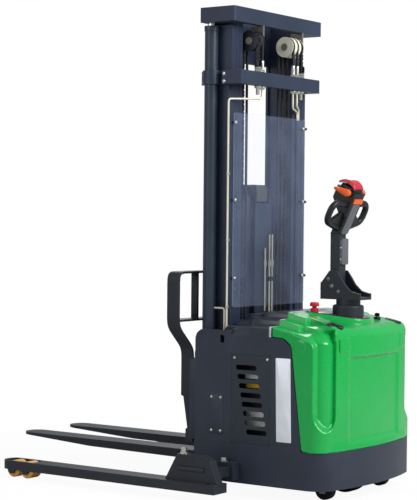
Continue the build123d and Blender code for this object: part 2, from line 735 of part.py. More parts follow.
# Bar across the outer stage, with its arms and the cylinder saddles
with BuildPart() as mast_crossbar:
    block(BAR_X, both(BAR_HALF), BAR_Z)
    for side in SIDES.values():
        block((BAR_ARM_FRONT, BAR_X[0]), along(side, OUTER_Y, BAR_HALF), BAR_Z)
        ear_reach = SADDLE_BOLT_STEP / 2 + SADDLE_EDGE
        ear_x = (CYLINDER_X - ear_reach, CYLINDER_X + ear_reach)
        block(ear_x, along(side, OUTER_Y, OUTER_Y + SADDLE_EAR), BAR_Z)
        post(CYLINDER_X, side * CYLINDER_Y, BAR_Z, CYLINDER_R + SADDLE_WALL)
        behind_web = along(side, OUTER_Y - CYLINDER_R, OUTER_Y)
        block(ear_x, behind_web, BAR_Z, Mode.SUBTRACT)
        post(CYLINDER_X, side * CYLINDER_Y, BAR_Z, CYLINDER_R, Mode.SUBTRACT)
    for name, side in SIDES.items():
        post(CHAIN_X, side * CHAIN_Y, BAR_Z, ANCHOR_ROD_R, Mode.SUBTRACT)
        for hose_y in HOSE_Y[name]:
            post(CHAIN_X, side * hose_y, BAR_Z, FITTING_R, Mode.SUBTRACT)
    fillet(mast_crossbar.edges().filter_by(Axis.Z).group_by(Axis.X)[-1], BAR_CORNER)
save(mast_crossbar, "mast_crossbar")

# Barrels of the two lift cylinders
with BuildPart() as lift_cylinders:
    for side in SIDES.values():
        centre = (CYLINDER_X, side * CYLINDER_Y)
        foot = CHASSIS_BOTTOM + BASE_PLATE
        post(*centre, (foot, CYLINDER_TOP), CYLINDER_R)
        post(*centre, (CYLINDER_TOP - GLAND_HEIGHT, CYLINDER_TOP), GLAND_R)
        post(*centre, (foot + CYLINDER_WALL, CYLINDER_TOP), CYLINDER_R - CYLINDER_WALL, Mode.SUBTRACT)
        post(*centre, (CYLINDER_TOP - GLAND_HEIGHT, CYLINDER_TOP), CYLINDER_R - SHAFT_GAP)
        post(*centre, (CYLINDER_TOP - GLAND_HEIGHT, CYLINDER_TOP), ROD_R + SHAFT_GAP, Mode.SUBTRACT)
save(lift_cylinders, "lift_cylinders")

# Chain anchor rods and hose fittings through the crossbar
with BuildPart() as chain_anchors:
    for name, side in SIDES.items():
        y = side * CHAIN_Y
        clevis_x = (CHAIN_X - CHAIN_THICK / 2, CHAIN_X + CHAIN_THICK / 2)
        clevis_y = (y - CHAIN_WIDTH / 2, y + CHAIN_WIDTH / 2)
        block(clevis_x, clevis_y, (ANCHOR_TOP - ANCHOR_HEIGHT, ANCHOR_TOP))
        post(CHAIN_X, y, (BAR_Z[0] - ANCHOR_TAIL, ANCHOR_TOP - ANCHOR_HEIGHT), ANCHOR_ROD_R)
        post(CHAIN_X, y, (BAR_Z[1], BAR_Z[1] + ANCHOR_NUT), ANCHOR_NUT_R)
        post(CHAIN_X, y, (BAR_Z[0] - ANCHOR_NUT, BAR_Z[0]), ANCHOR_NUT_R)
        for hose_y in HOSE_Y[name]:
            y = side * hose_y
            post(CHAIN_X, y, (BAR_Z[0] - ANCHOR_NUT, ANCHOR_TOP), FITTING_R)
            post(CHAIN_X, y, (BAR_Z[1], BAR_Z[1] + ANCHOR_NUT), ANCHOR_NUT_R)
save(chain_anchors, "chain_anchors")

# Steel pipes from the hose fittings and the cylinder ports down into the chassis
pipe_foot = WALL_TOP
pipe_head = BAR_Z[0] - ANCHOR_NUT
left_drop = [
    (CHAIN_X, -HOSE_Y["left"][0], pipe_head),
    (CHAIN_X, -HOSE_Y["left"][0], pipe_head - PIPE_DROP),
    (PIPE_X, -LEFT_PIPE_Y, pipe_head - PIPE_DROP - PIPE_FALL),
    (PIPE_X, -LEFT_PIPE_Y, pipe_foot),
]
right_drops = []
for order, hose_y in enumerate(HOSE_Y["right"]):
    elbow = pipe_head - PIPE_DROP - (order + 1) * PIPE_STEP
    lane = RIGHT_PIPE_Y - order * PIPE_STEP
    right_drops.append([
        (CHAIN_X, hose_y, pipe_head),
        (CHAIN_X, hose_y, elbow),
        (PIPE_X, lane, elbow - PIPE_FALL),
        (PIPE_X, lane, pipe_foot),
    ])
port_drops = []
for side in SIDES.values():
    port_drops.append([
        (CYLINDER_X + CYLINDER_R, side * CYLINDER_Y, PORT_Z),
        (PORT_DROP_X, side * CYLINDER_Y, PORT_Z),
        (PORT_DROP_X, side * CYLINDER_Y, pipe_foot),
    ])
with BuildPart() as hydraulic_pipes:
    for route in [left_drop, *right_drops, *port_drops]:
        points = [(DATUM_X + x, y, z) for x, y, z in route]
        with BuildLine() as path:
            FilletPolyline(*points, radius=PIPE_BEND)
        with BuildSketch(Plane(path.line @ 0, z_dir=path.line % 0)) as bore:
            Circle(PIPE_R)
        sweep(bore.sketch, path=path.line)
save(hydraulic_pipes, "hydraulic_pipes")

# Clear guard sheet behind the mast
with BuildPart() as mast_guard:
    block(GUARD_X, both(GUARD_HALF), GUARD_Z)
    fillet(mast_guard.edges().filter_by(Axis.X), GUARD_CORNER)
    for side in SIDES.values():
        for bolt_z in GUARD_BOLT_Z:
            stud(GUARD_X, side * GUARD_BOLT_Y, bolt_z, GUARD_BOLT_R, Mode.SUBTRACT)
save(mast_guard, "mast_guard")

# Screws and bolts on the chassis and the outer stage
with BuildPart() as body_fasteners:
    for side in SIDES.values():
        head_y = along(side, CHASSIS_HALF, CHASSIS_HALF + SCREW_HEAD)
        for screw_z in CHEEK_SCREW_Z:
            for screw_x in CHEEK_SCREW_X:
                pin(screw_x, head_y, screw_z, SCREW_R)
        for screw_x in (PANEL_X[0] + SCREW_INSET, PANEL_X[1] - SCREW_INSET):
            pin(screw_x, head_y, PANEL_Z[1] - SCREW_INSET, SCREW_R)
        for bolt_z in GUARD_BOLT_Z:
            stud((RAIL_REAR, GUARD_X[0]), side * GUARD_BOLT_Y, bolt_z, GUARD_SPACER_R)
            stud((GUARD_X[0], GUARD_X[1]), side * GUARD_BOLT_Y, bolt_z, GUARD_BOLT_R)
            stud((GUARD_X[1], GUARD_X[1] + SCREW_HEAD), side * GUARD_BOLT_Y, bolt_z, GUARD_SPACER_R)
        ear_face = along(side, OUTER_Y + SADDLE_EAR, OUTER_Y + SADDLE_EAR + SCREW_HEAD)
        for bolt_x in (CYLINDER_X - SADDLE_BOLT_STEP / 2, CYLINDER_X + SADDLE_BOLT_STEP / 2):
            for bolt_z in (BAR_Z[0] + SCREW_INSET, BAR_Z[1] - SCREW_INSET):
                pin(bolt_x, ear_face, bolt_z, SCREW_R)
        collar_top = RECEIVER_Z[1] + COLLAR_RIM
        with BuildSketch(Plane.XY.offset(collar_top)) as hexagon:
            with Locations((DATUM_X + sum(ARM_X) / 2, side * (CHASSIS_HALF + COLLAR_Y) / 2)):
                RegularPolygon(CLAMP_BOLT_R, 6)
        extrude(hexagon.sketch, amount=CLAMP_BOLT_HEIGHT)
save(body_fasteners, "body_fasteners")

# Hood over the drive unit: a skirted shell with a stepped top
with BuildPart() as hood_recess:
    block((STEER_X, BODY_REACH), both(RECESS_HALF), RECESS_Z)
    fillet(hood_recess.edges().filter_by(Axis.X), RECESS_RADIUS)
    kept_plan = body_plan(SKIRT_TOP, 0, HOOD_INSET, HOOD_REAR_INSET + RECESS_DEPTH)
    extrude(kept_plan, amount=DECK_Z - SKIRT_TOP, mode=Mode.SUBTRACT)
layers = (
    (0, 0, SHOULDER_DROP),
    (CHASSIS_HALF - STEP_HALF, HOOD_SETBACK, STEP_DROP),
    (CHASSIS_HALF - DECK_HALF, 2 * HOOD_SETBACK, 0),
)
hood_hollow = stepped_body(layers, HOOD_FRONT - HOOD_WALL, HOOD_WALL)
with BuildPart() as hood:
    add(stepped_body(layers, HOOD_FRONT, 0))
    deck_edges = hood.faces().sort_by(Axis.Z)[-1].edges().sort_by(Axis.X)[1:]
    fillet(deck_edges, HOOD_ROUND)
    add(hood_hollow, mode=Mode.SUBTRACT)
    front_edge = [
        (HOOD_FRONT - HOOD_WALL, SKIRT_TOP - HOOD_WALL),
        (HOOD_EDGE_FOOT_X, SKIRT_TOP - HOOD_WALL),
        (HOOD_EDGE_FOOT_X, SKIRT_TOP),
        (HOOD_EDGE_TOP_X, HOOD_EDGE_TOP_Z),
        (HOOD_BEND_X, HOOD_BEND_Z),
        (HOOD_FRONT, WALL_TOP + HOOD_SEAM),
        (HOOD_FRONT - HOOD_WALL, WALL_TOP + HOOD_SEAM),
    ]
    plate(front_edge, both(CHASSIS_HALF), mode=Mode.SUBTRACT)
    for side in SIDES.values():
        hood_corner = CORNER_RADIUS - (HOOD_INSET + HOOD_REAR_INSET) / 2
        reach = (hood_corner + CHANNEL_RADIUS - CHANNEL_DEPTH) * cos(radians(45))
        channel_z = (CHANNEL_FOOT, COVER_DECK_Z)
        channel_at = (CORNER_CENTRE_X + reach, side * (CORNER_Y + reach))
        post(*channel_at, channel_z, CHANNEL_RADIUS, Mode.SUBTRACT)
    add(hood_recess.part, mode=Mode.SUBTRACT)
    hole_z = (DECK_Z - SHOULDER_DROP, COVER_DECK_Z)
    post(STEER_X, 0, hole_z, NECK_R, Mode.SUBTRACT)
    post(ESTOP_X, ESTOP_Y, hole_z, ESTOP_BASE_R, Mode.SUBTRACT)
    post(KEY_X, KEY_Y, hole_z, KEY_BARREL_R, Mode.SUBTRACT)
save(hood, "hood")

# Battery cover with the same stepped section, lifted off by hand
with BuildPart() as battery_cover:
    section = [
        (CHASSIS_HALF, COVER_FOOT_Z),
        (CHASSIS_HALF, COVER_SHOULDER_Z),
        (STEP_HALF, COVER_SHOULDER_Z),
        (STEP_HALF, COVER_STEP_Z),
        (DECK_HALF, COVER_STEP_Z),
        (DECK_HALF, COVER_DECK_Z),
    ]
    for wall, mode in ((0, Mode.ADD), (COVER_WALL, Mode.SUBTRACT)):
        right_half = [(y - wall, max(z - wall, COVER_FOOT_Z)) for y, z in section]
        left_half = [(-y, z) for y, z in reversed(right_half)]
        with BuildSketch(Plane.YZ.offset(DATUM_X + COVER_FRONT + wall)) as slice_face:
            with BuildLine():
                Polyline(*right_half, *left_half, close=True)
            make_face()
            fillet(slice_face.vertices().group_by(Axis.Y)[1:], COVER_ROUND)
        length = HOOD_FRONT - COVER_SEAM - COVER_FRONT
        extrude(slice_face.sketch, amount=length - 2 * wall, mode=mode)
    for side in SIDES.values():
        notch_y = along(side, WALL_INNER - SLIDE_GAP, CHASSIS_HALF)
        block((COVER_FRONT, CHEEK_X[1] + SLIDE_GAP), notch_y, (COVER_FOOT_Z, COVER_DECK_Z), Mode.SUBTRACT)
save(battery_cover, "battery_cover")

# Console plate on the sloping deck, with the bases of the emergency switch and the key
deck_plane = Plane((DATUM_X + STEER_X, 0, DECK_Z), x_dir=(1, 0, -DECK_FALL), z_dir=(DECK_FALL, 0, 1))
slope_length = (1 + DECK_FALL ** 2) ** 0.5
with BuildPart() as console_plate:
    with BuildSketch(deck_plane) as console_outline:
        Circle(CONSOLE_R)
        with Locations((-ESTOP_AHEAD * slope_length, ESTOP_Y)):
            Circle(CONSOLE_TAIL_R)
        make_hull()
    extrude(console_outline.sketch, amount=CONSOLE_THICK)
    broad_faces = console_plate.faces().sort_by(SortBy.AREA)[-2:]
    fillet(broad_faces.sort_by(Axis.Z)[-1].edges(), CONSOLE_THICK / 3)
    post(STEER_X, 0, (DECK_Z - SHOULDER_DROP, COVER_DECK_Z), NECK_R, Mode.SUBTRACT)
    base_z = (ESTOP_DECK_Z - HOOD_WALL, ESTOP_SEAT_Z + ESTOP_BASE)
    post(ESTOP_X, ESTOP_Y, base_z, ESTOP_BASE_R)
    post(ESTOP_X, ESTOP_Y, base_z, ESTOP_STEM_R + SHAFT_GAP, Mode.SUBTRACT)
    barrel_z = (KEY_DECK_Z - HOOD_WALL, KEY_DECK_Z + KEY_BARREL)
    post(KEY_X, KEY_Y, barrel_z, KEY_BARREL_R)
    post(KEY_X, KEY_Y, barrel_z, KEY_STEM_R + SHAFT_GAP, Mode.SUBTRACT)
save(console_plate, "console_plate")

# Emergency button, pushed down to cut the power
with BuildPart() as emergency_button:
    cap_foot = ESTOP_SEAT_Z + ESTOP_LIFT
    post(ESTOP_X, ESTOP_Y, (cap_foot, cap_foot + ESTOP_CAP), ESTOP_R)
    fillet(emergency_button.edges().sort_by(Axis.Z)[-1], ESTOP_CAP / 2)
    post(ESTOP_X, ESTOP_Y, (ESTOP_DECK_Z, cap_foot), ESTOP_STEM_R)
save(emergency_button, "emergency_button")

# Key, turned in its barrel
with BuildPart() as key_switch:
    bow_foot = KEY_DECK_Z + KEY_BARREL + SEAT_GAP
    post(KEY_X, KEY_Y, (KEY_DECK_Z, bow_foot), KEY_STEM_R)
    bow_x = (KEY_X - KEY_BOW[0] / 2, KEY_X + KEY_BOW[0] / 2)
    bow_y = (KEY_Y - KEY_BOW[1] / 2, KEY_Y + KEY_BOW[1] / 2)
    block(bow_x, bow_y, (bow_foot, bow_foot + KEY_BOW[2]))
    fillet(key_switch.edges().filter_by(Axis.Y), KEY_BOW[2] / 4)
save(key_switch, "key_switch")

# Chain and hose runs behind the mast, from the crossbar up to the sheaves
chain_x = (CHAIN_X - CHAIN_THICK / 2, CHAIN_X + CHAIN_THICK / 2)
front_chain_x = (FRONT_RUN_X - CHAIN_THICK / 2, FRONT_RUN_X + CHAIN_THICK / 2)
with BuildPart() as lift_chain_rear_runs:
    for side in SIDES.values():
        chain_y = along(side, CHAIN_Y - CHAIN_WIDTH / 2, CHAIN_Y + CHAIN_WIDTH / 2)
        block(chain_x, chain_y, (ANCHOR_TOP, SHEAVE_Z))
save(lift_chain_rear_runs, "lift_chain_rear_runs")
with BuildPart() as hose_rear_runs:
    for name, side in SIDES.items():
        for hose_y in HOSE_Y[name]:
            post(CHAIN_X, side * hose_y, (ANCHOR_TOP, SHEAVE_Z), HOSE_R)
save(hose_rear_runs, "hose_rear_runs")

# Chain and hose runs over the sheaves and down to the foot of the inner stage
sheave_axis = Axis((DATUM_X + SHEAVE_X, 0, SHEAVE_Z), (0, 1, 0))
front_foot = INNER_CROSS_TOP + FRONT_ANCHOR
with BuildPart() as lift_chain_front_runs:
    for side in SIDES.values():
        chain_y = along(side, CHAIN_Y - CHAIN_WIDTH / 2, CHAIN_Y + CHAIN_WIDTH / 2)
        pin(SHEAVE_X, chain_y, SHEAVE_Z, SHEAVE_R + CHAIN_THICK / 2)
        pin(SHEAVE_X, chain_y, SHEAVE_Z, SHEAVE_R - CHAIN_THICK / 2, Mode.SUBTRACT)
        wrap_x = (SHEAVE_X - SHEAVE_R - CHAIN_THICK, SHEAVE_X + SHEAVE_R + CHAIN_THICK)
        block(wrap_x, chain_y, (SHEAVE_Z - SHEAVE_R - CHAIN_THICK, SHEAVE_Z), Mode.SUBTRACT)
        block(front_chain_x, chain_y, (front_foot, SHEAVE_Z))
save(lift_chain_front_runs, "lift_chain_front_runs")
with BuildPart() as hose_front_runs:
    for name, side in SIDES.items():
        for hose_y in HOSE_Y[name]:
            with BuildSketch(Plane.XY.offset(SHEAVE_Z)) as hose_face:
                with Locations((DATUM_X + FRONT_RUN_X, side * hose_y)):
                    Circle(HOSE_R)
            revolve(hose_face.sketch, axis=sheave_axis, revolution_arc=180)
            post(FRONT_RUN_X, side * hose_y, (front_foot, SHEAVE_Z), HOSE_R)
save(hose_front_runs, "hose_front_runs")

# Middle mast stage with the bar that the lift rods push up
with BuildPart() as middle_mast:
    for side in SIDES.values():
        rail(side, MIDDLE_Y, MIDDLE_WIDTH, (MIDDLE_BOTTOM, YOKE_BOTTOM))
        arm_y = along(side, INNER_Y + RAIL_GAP, YOKE_HALF)
        block((YOKE_ARM_FRONT, -YOKE_BAR), arm_y, (YOKE_BOTTOM, YOKE_TOP))
    block((-YOKE_BAR, 0), both(YOKE_HALF), (YOKE_BOTTOM, YOKE_TOP))
    fillet(middle_mast.edges().filter_by(Axis.Z).group_by(Axis.X)[-1], YOKE_CORNER)
    cross_x = (RAIL_FRONT + CROSS_INSET, RAIL_REAR - CROSS_INSET)
    cross_z = (MIDDLE_BOTTOM, MIDDLE_BOTTOM + MIDDLE_CROSS_HEIGHT)
    block(cross_x, both(MIDDLE_Y - RAIL_WEB), cross_z)
save(middle_mast, "middle_mast")

with BuildPart() as middle_mast_rollers:
    for side in SIDES.values():
        for roller_z in MIDDLE_ROLLER_Z:
            mast_roller(side, MIDDLE_Y, OUTER_Y, OUTER_WIDTH, roller_z)
save(middle_mast_rollers, "middle_mast_rollers")

# Rods of the lift cylinders
with BuildPart() as lift_rods:
    for side in SIDES.values():
        rod_z = (YOKE_BOTTOM - ROD_LENGTH, YOKE_BOTTOM)
        post(CYLINDER_X, side * CYLINDER_Y, rod_z, ROD_R)
save(lift_rods, "lift_rods")

# Plates and axles that carry the sheaves
with BuildPart() as sheave_brackets:
    for name, side in SIDES.items():
        outer_face = CHAIN_Y + CHAIN_WIDTH / 2 + GROOVE_PLAY + SHEAVE_FLANGE + SLIDE_GAP
        inner_face = HOSE_Y[name][-1] - PULLEY_HALF - SLIDE_GAP
        plate_y, head_y = (outer_face, outer_face + BRACKET_PLATE), (inner_face - SCREW_HEAD, inner_face)
        if name == "left":
            plate_y, head_y = (inner_face - BRACKET_PLATE, inner_face), (outer_face, outer_face + SCREW_HEAD)
        bracket = [
            (SHEAVE_X - BRACKET_HALF, SHEAVE_Z - BRACKET_DROP),
            (SHEAVE_X + BRACKET_HALF, SHEAVE_Z - BRACKET_DROP),
            (0, SHEAVE_Z),
            (0, YOKE_BOTTOM),
            (SHEAVE_X - BRACKET_HALF, YOKE_BOTTOM),
        ]
        plate(bracket, along(side, *plate_y))
        pin(SHEAVE_X, along(side, inner_face, outer_face), SHEAVE_Z, AXLE_R)
        pin(SHEAVE_X, along(side, *head_y), SHEAVE_Z, AXLE_R + SCREW_HEAD)
save(sheave_brackets, "sheave_brackets")

# Sheaves: a chain groove and a groove for each hose on one hub
rim_r = SHEAVE_R + SHEAVE_RIM
for name, side in SIDES.items():
    with BuildPart() as sheave:
        chain_half = CHAIN_WIDTH / 2 + GROOVE_PLAY
        hub_near = HOSE_Y[name][-1] - PULLEY_HALF
        hub_far = CHAIN_Y + chain_half + SHEAVE_FLANGE
        pin(SHEAVE_X, along(side, hub_near, hub_far), SHEAVE_Z, rim_r)
        grooves = [(CHAIN_Y, chain_half, CHAIN_THICK / 2)]
        for hose_y in HOSE_Y[name]:
            grooves.append((hose_y, PULLEY_HALF - SHEAVE_FLANGE, HOSE_R))
        for groove_y, half, depth in grooves:
            with BuildSketch(Plane.XY.offset(SHEAVE_Z)) as groove:
                root = SHEAVE_R - depth - GROOVE_PLAY
                with Locations((DATUM_X + SHEAVE_X + (root + rim_r) / 2, side * groove_y)):
                    Rectangle(rim_r - root, 2 * half)
            revolve(groove.sketch, axis=sheave_axis, mode=Mode.SUBTRACT)
        bore_y = along(side, hub_near, hub_far)
        pin(SHEAVE_X, bore_y, SHEAVE_Z, AXLE_R + SHAFT_GAP, Mode.SUBTRACT)
    save(sheave, f"{name}_sheave")

# Inner mast stage
with BuildPart() as inner_mast:
    for name, side in SIDES.items():
        rail(side, INNER_Y, INNER_WIDTH, (INNER_BOTTOM, INNER_TOP))
    cross_x = (RAIL_FRONT + CROSS_INSET, RAIL_REAR - INNER_CROSS_INSET)
    block(cross_x, both(INNER_EDGE_Y), (INNER_BOTTOM, INNER_CROSS_TOP))
    block((RAIL_FRONT, RAIL_FRONT + INNER_HEAD_PLATE), both(INNER_EDGE_Y), INNER_HEAD_Z)
    guide_front = FREE_X + SHEAVE_R + SHEAVE_RIM + GUIDE_GAP
    guide_z = (INNER_CROSS_TOP, HEAD_SHEAVE_Z - GUIDE_DROP)
    block((guide_front, guide_front + GUIDE_PLATE), both(GUIDE_HALF), guide_z)
    for name, side in SIDES.items():
        block(cross_x, along(side, INNER_EDGE_Y, INNER_Y), (INNER_BOTTOM, INNER_CROSS_TOP))
        post(FRONT_RUN_X, side * CHAIN_Y, (INNER_CROSS_TOP, front_foot), CHAIN_THICK / 2)
        for hose_y in HOSE_Y[name]:
            post(FRONT_RUN_X, side * hose_y, (INNER_CROSS_TOP, front_foot), FITTING_R)
save(inner_mast, "inner_mast")

with BuildPart() as inner_mast_rollers:
    for side in SIDES.values():
        for roller_z in INNER_ROLLER_Z:
            mast_roller(side, INNER_Y, MIDDLE_Y, MIDDLE_WIDTH, roller_z)
save(inner_mast_rollers, "inner_mast_rollers")

# Free lift cylinder, which raises the carriage before the mast extends
with BuildPart() as free_lift_cylinder:
    post(FREE_X, 0, (INNER_CROSS_TOP, FREE_TOP), FREE_R)
    post(FREE_X, 0, (INNER_CROSS_TOP + FREE_WALL, FREE_TOP), FREE_R - FREE_WALL, Mode.SUBTRACT)
    post(FREE_X, 0, (FREE_TOP - GLAND_HEIGHT, FREE_TOP), FREE_R + FREE_WALL / 2)
    post(FREE_X, 0, (FREE_TOP - GLAND_HEIGHT, FREE_TOP), FREE_ROD_R + SHAFT_GAP, Mode.SUBTRACT)
save(free_lift_cylinder, "free_lift_cylinder")

# Free lift rod and the crosshead with its chain sheaves
head_foot = HEAD_TOP - HEAD_BLOCK - SHEAVE_R - SHEAVE_RIM
with BuildPart() as free_lift_head:
    post(FREE_X, 0, (head_foot - FREE_ROD_LENGTH, head_foot), FREE_ROD_R)
    inner_half = HEAD_SHEAVE_Y - HEAD_SHEAVE_HALF - SLIDE_GAP
    head_x = (FREE_X - inner_half, FREE_X + inner_half)
    block(head_x, both(inner_half), (head_foot, HEAD_TOP))
    pin(FREE_X, both(HEAD_HALF), HEAD_SHEAVE_Z, AXLE_R)
    fillet(free_lift_head.edges().filter_by(Axis.Y).group_by(Axis.Z)[-1], AXLE_R)
save(free_lift_head, "free_lift_head")

head_axis = Axis((DATUM_X + FREE_X, 0, HEAD_SHEAVE_Z), (0, 1, 0))
with BuildPart() as head_sheaves:
    for side in SIDES.values():
        hub_y = along(side, HEAD_SHEAVE_Y - HEAD_SHEAVE_HALF, HEAD_SHEAVE_Y + HEAD_SHEAVE_HALF)
        pin(FREE_X, hub_y, HEAD_SHEAVE_Z, rim_r)
        with BuildSketch(Plane.XY.offset(HEAD_SHEAVE_Z)) as groove:
            root = SHEAVE_R - HEAD_CHAIN_THICK / 2 - GROOVE_PLAY
            with Locations((DATUM_X + FREE_X + (root + rim_r) / 2, side * HEAD_SHEAVE_Y)):
                Rectangle(rim_r - root, HEAD_CHAIN_WIDTH + 2 * GROOVE_PLAY)
        revolve(groove.sketch, axis=head_axis, mode=Mode.SUBTRACT)
        pin(FREE_X, hub_y, HEAD_SHEAVE_Z, AXLE_R + SHAFT_GAP, Mode.SUBTRACT)
save(head_sheaves, "head_sheaves")

# Carriage chains: from the inner stage's foot, over the crosshead, to the carriage lugs
rear_run = FREE_X + SHEAVE_R
front_run = FREE_X - SHEAVE_R
lug_top = UPPER_BAR_Z[1] - LUG_DROP
with BuildPart() as carriage_chain_rear_runs:
    for side in SIDES.values():
        chain_y = along(side, HEAD_SHEAVE_Y - HEAD_CHAIN_WIDTH / 2, HEAD_SHEAVE_Y + HEAD_CHAIN_WIDTH / 2)
        run_x = (rear_run - HEAD_CHAIN_THICK / 2, rear_run + HEAD_CHAIN_THICK / 2)
        block(run_x, chain_y, (INNER_CROSS_TOP, HEAD_SHEAVE_Z))
save(carriage_chain_rear_runs, "carriage_chain_rear_runs")
with BuildPart() as carriage_chain_front_runs:
    for side in SIDES.values():
        chain_y = along(side, HEAD_SHEAVE_Y - HEAD_CHAIN_WIDTH / 2, HEAD_SHEAVE_Y + HEAD_CHAIN_WIDTH / 2)
        pin(FREE_X, chain_y, HEAD_SHEAVE_Z, SHEAVE_R + HEAD_CHAIN_THICK / 2)
        pin(FREE_X, chain_y, HEAD_SHEAVE_Z, SHEAVE_R - HEAD_CHAIN_THICK / 2, Mode.SUBTRACT)
        wrap_x = (front_run - HEAD_CHAIN_THICK, rear_run + HEAD_CHAIN_THICK)
        block(wrap_x, chain_y, (head_foot - HEAD_BLOCK, HEAD_SHEAVE_Z), Mode.SUBTRACT)
        run_x = (front_run - HEAD_CHAIN_THICK / 2, front_run + HEAD_CHAIN_THICK / 2)
        block(run_x, chain_y, (lug_top, HEAD_SHEAVE_Z))
save(carriage_chain_front_runs, "carriage_chain_front_runs")

# Fork carriage: two bars, the side arms with the guide rollers and the chain lugs
with BuildPart() as carriage:
    for bar_z in (LOWER_BAR_Z, UPPER_BAR_Z):
        block(CARRIAGE_BAR_X, both(CARRIAGE_HALF), bar_z)
    for side in SIDES.values():
        block((CARRIAGE_BAR_X[1], SIDE_ARM_REAR), along(side, *SIDE_ARM_Y), SIDE_ARM_Z)
        lug_y = along(side, HEAD_SHEAVE_Y - LUG_HALF_Y, HEAD_SHEAVE_Y + LUG_HALF_Y)
        lug_x = (CARRIAGE_BAR_X[1], front_run + LUG_HALF_Y)
        block(lug_x, lug_y, (UPPER_BAR_Z[0], lug_top))
save(carriage, "carriage")

with BuildPart() as carriage_rollers:
    for side in SIDES.values():
        for roller_z in CARRIAGE_ROLLER_Z:
            mast_roller(side, SIDE_ARM_Y[1], INNER_Y, INNER_WIDTH, roller_z)
save(carriage_rollers, "carriage_rollers")

# Load backrest, flat bar bent into a loop with upright slats
with BuildPart() as load_backrest:
    upper_half = BACKREST_HALF
    lower_half = CARRIAGE_HALF + BACKREST_BAR
    for wall, mode in ((0, Mode.ADD), (BACKREST_BAR, Mode.SUBTRACT)):
        loop_z = (BACKREST_JOG_Z[1], BACKREST_TOP - wall)
        with BuildSketch(Plane.YZ.offset(DATUM_X + BACKREST_X[0])) as loop:
            with Locations((0, sum(loop_z) / 2)):
                Rectangle(2 * (upper_half - wall), loop_z[1] - loop_z[0])
            fillet(loop.vertices().group_by(Axis.Y)[-1], BACKREST_CORNER - wall)
        extrude(loop.sketch, amount=BACKREST_X[1] - BACKREST_X[0], mode=mode)
    rail_z = (BACKREST_RAIL_Z - BACKREST_BAR / 2, BACKREST_RAIL_Z + BACKREST_BAR / 2)
    block(BACKREST_X, both(upper_half - BACKREST_BAR), rail_z)
    for side in SIDES.values():
        jog = [
            (side * upper_half, BACKREST_JOG_Z[1]),
            (side * (upper_half - BACKREST_BAR), BACKREST_JOG_Z[1]),
            (side * CARRIAGE_HALF, BACKREST_JOG_Z[0]),
            (side * lower_half, BACKREST_JOG_Z[0]),
        ]
        with BuildSketch(Plane.YZ.offset(DATUM_X + BACKREST_X[0])) as jog_face:
            with BuildLine():
                Polyline(*jog, close=True)
            make_face()
        extrude(jog_face.sketch, amount=BACKREST_X[1] - BACKREST_X[0])
        leg = [
            (BACKREST_X[0], BACKREST_JOG_Z[0]),
            (BACKREST_X[0], SIDE_STEP_Z),
            (BACKREST_X[0] + SIDE_STEP, SIDE_STEP_Z),
            (BACKREST_X[0] + SIDE_WAIST, LOWER_BAR_Z[1]),
            (CARRIAGE_BAR_X[0], LOWER_BAR_Z[1]),
            (CARRIAGE_BAR_X[0], LOWER_BAR_Z[0]),
            (BACKREST_X[1], LOWER_BAR_Z[0]),
            (BACKREST_X[1], BACKREST_JOG_Z[0]),
        ]
        plate(leg, along(side, CARRIAGE_HALF, lower_half))
    for slat in range(SLAT_COUNT):
        slat_y = (slat - (SLAT_COUNT - 1) / 2) * SLAT_STEP
        slat_x = (sum(BACKREST_X) / 2 - SLAT_DEPTH / 2, sum(BACKREST_X) / 2 + SLAT_DEPTH / 2)
        slat_limits = (slat_y - BACKREST_BAR / 2, slat_y + BACKREST_BAR / 2)
        block(slat_x, slat_limits, (rail_z[1], BACKREST_TOP - BACKREST_BAR))
save(load_backrest, "load_backrest")

# Forks, hooked over the carriage bars
for name, side in SIDES.items():
    with BuildPart() as fork:
        fork_y = (side * FORK_Y - FORK_WIDTH / 2, side * FORK_Y + FORK_WIDTH / 2)
        shank_front = FORK_BACK - SHANK_THICK
        profile = [
            (-FORK_REACH, FORK_TOP),
            (-FORK_REACH, FORK_TOP - FORK_TIP),
            (TAPER_LENGTH - FORK_REACH, FORK_TOP - TAPER_THICK),
            (shank_front, FORK_TOP - FORK_HEEL),
            (FORK_BACK, FORK_TOP - FORK_HEEL),
            (FORK_BACK, SHANK_TOP),
            (shank_front, SHANK_TOP),
            (shank_front, FORK_TOP),
        ]
        plate(profile, fork_y)
        heel = fork.edges().filter_by(Axis.Y).group_by(Axis.Z)[0]
        blade_tip = fork.edges().filter_by(Axis.Z).group_by(Axis.X)[0]
        fillet(heel.sort_by(Axis.X)[-1], HEEL_RADIUS)
        fillet(blade_tip, (FORK_WIDTH - TIP_FLAT) / 2)
        hook_x = (FORK_BACK, CARRIAGE_BAR_X[1] + HOOK_GAP + HOOK_LIP)
        lip_x = (CARRIAGE_BAR_X[1] + HOOK_GAP, CARRIAGE_BAR_X[1] + HOOK_GAP + HOOK_LIP)
        top_gap = UPPER_BAR_Z[1] + HOOK_GAP
        foot_gap = LOWER_BAR_Z[0] - HOOK_GAP
        block(hook_x, fork_y, (top_gap, SHANK_TOP))
        block(lip_x, fork_y, (top_gap - HOOK_DEPTH, top_gap))
        block(hook_x, fork_y, (foot_gap - HOOK_DEPTH, foot_gap))
        block(lip_x, fork_y, (foot_gap, foot_gap + HOOK_DEPTH))
    save(fork, f"{name}_fork")

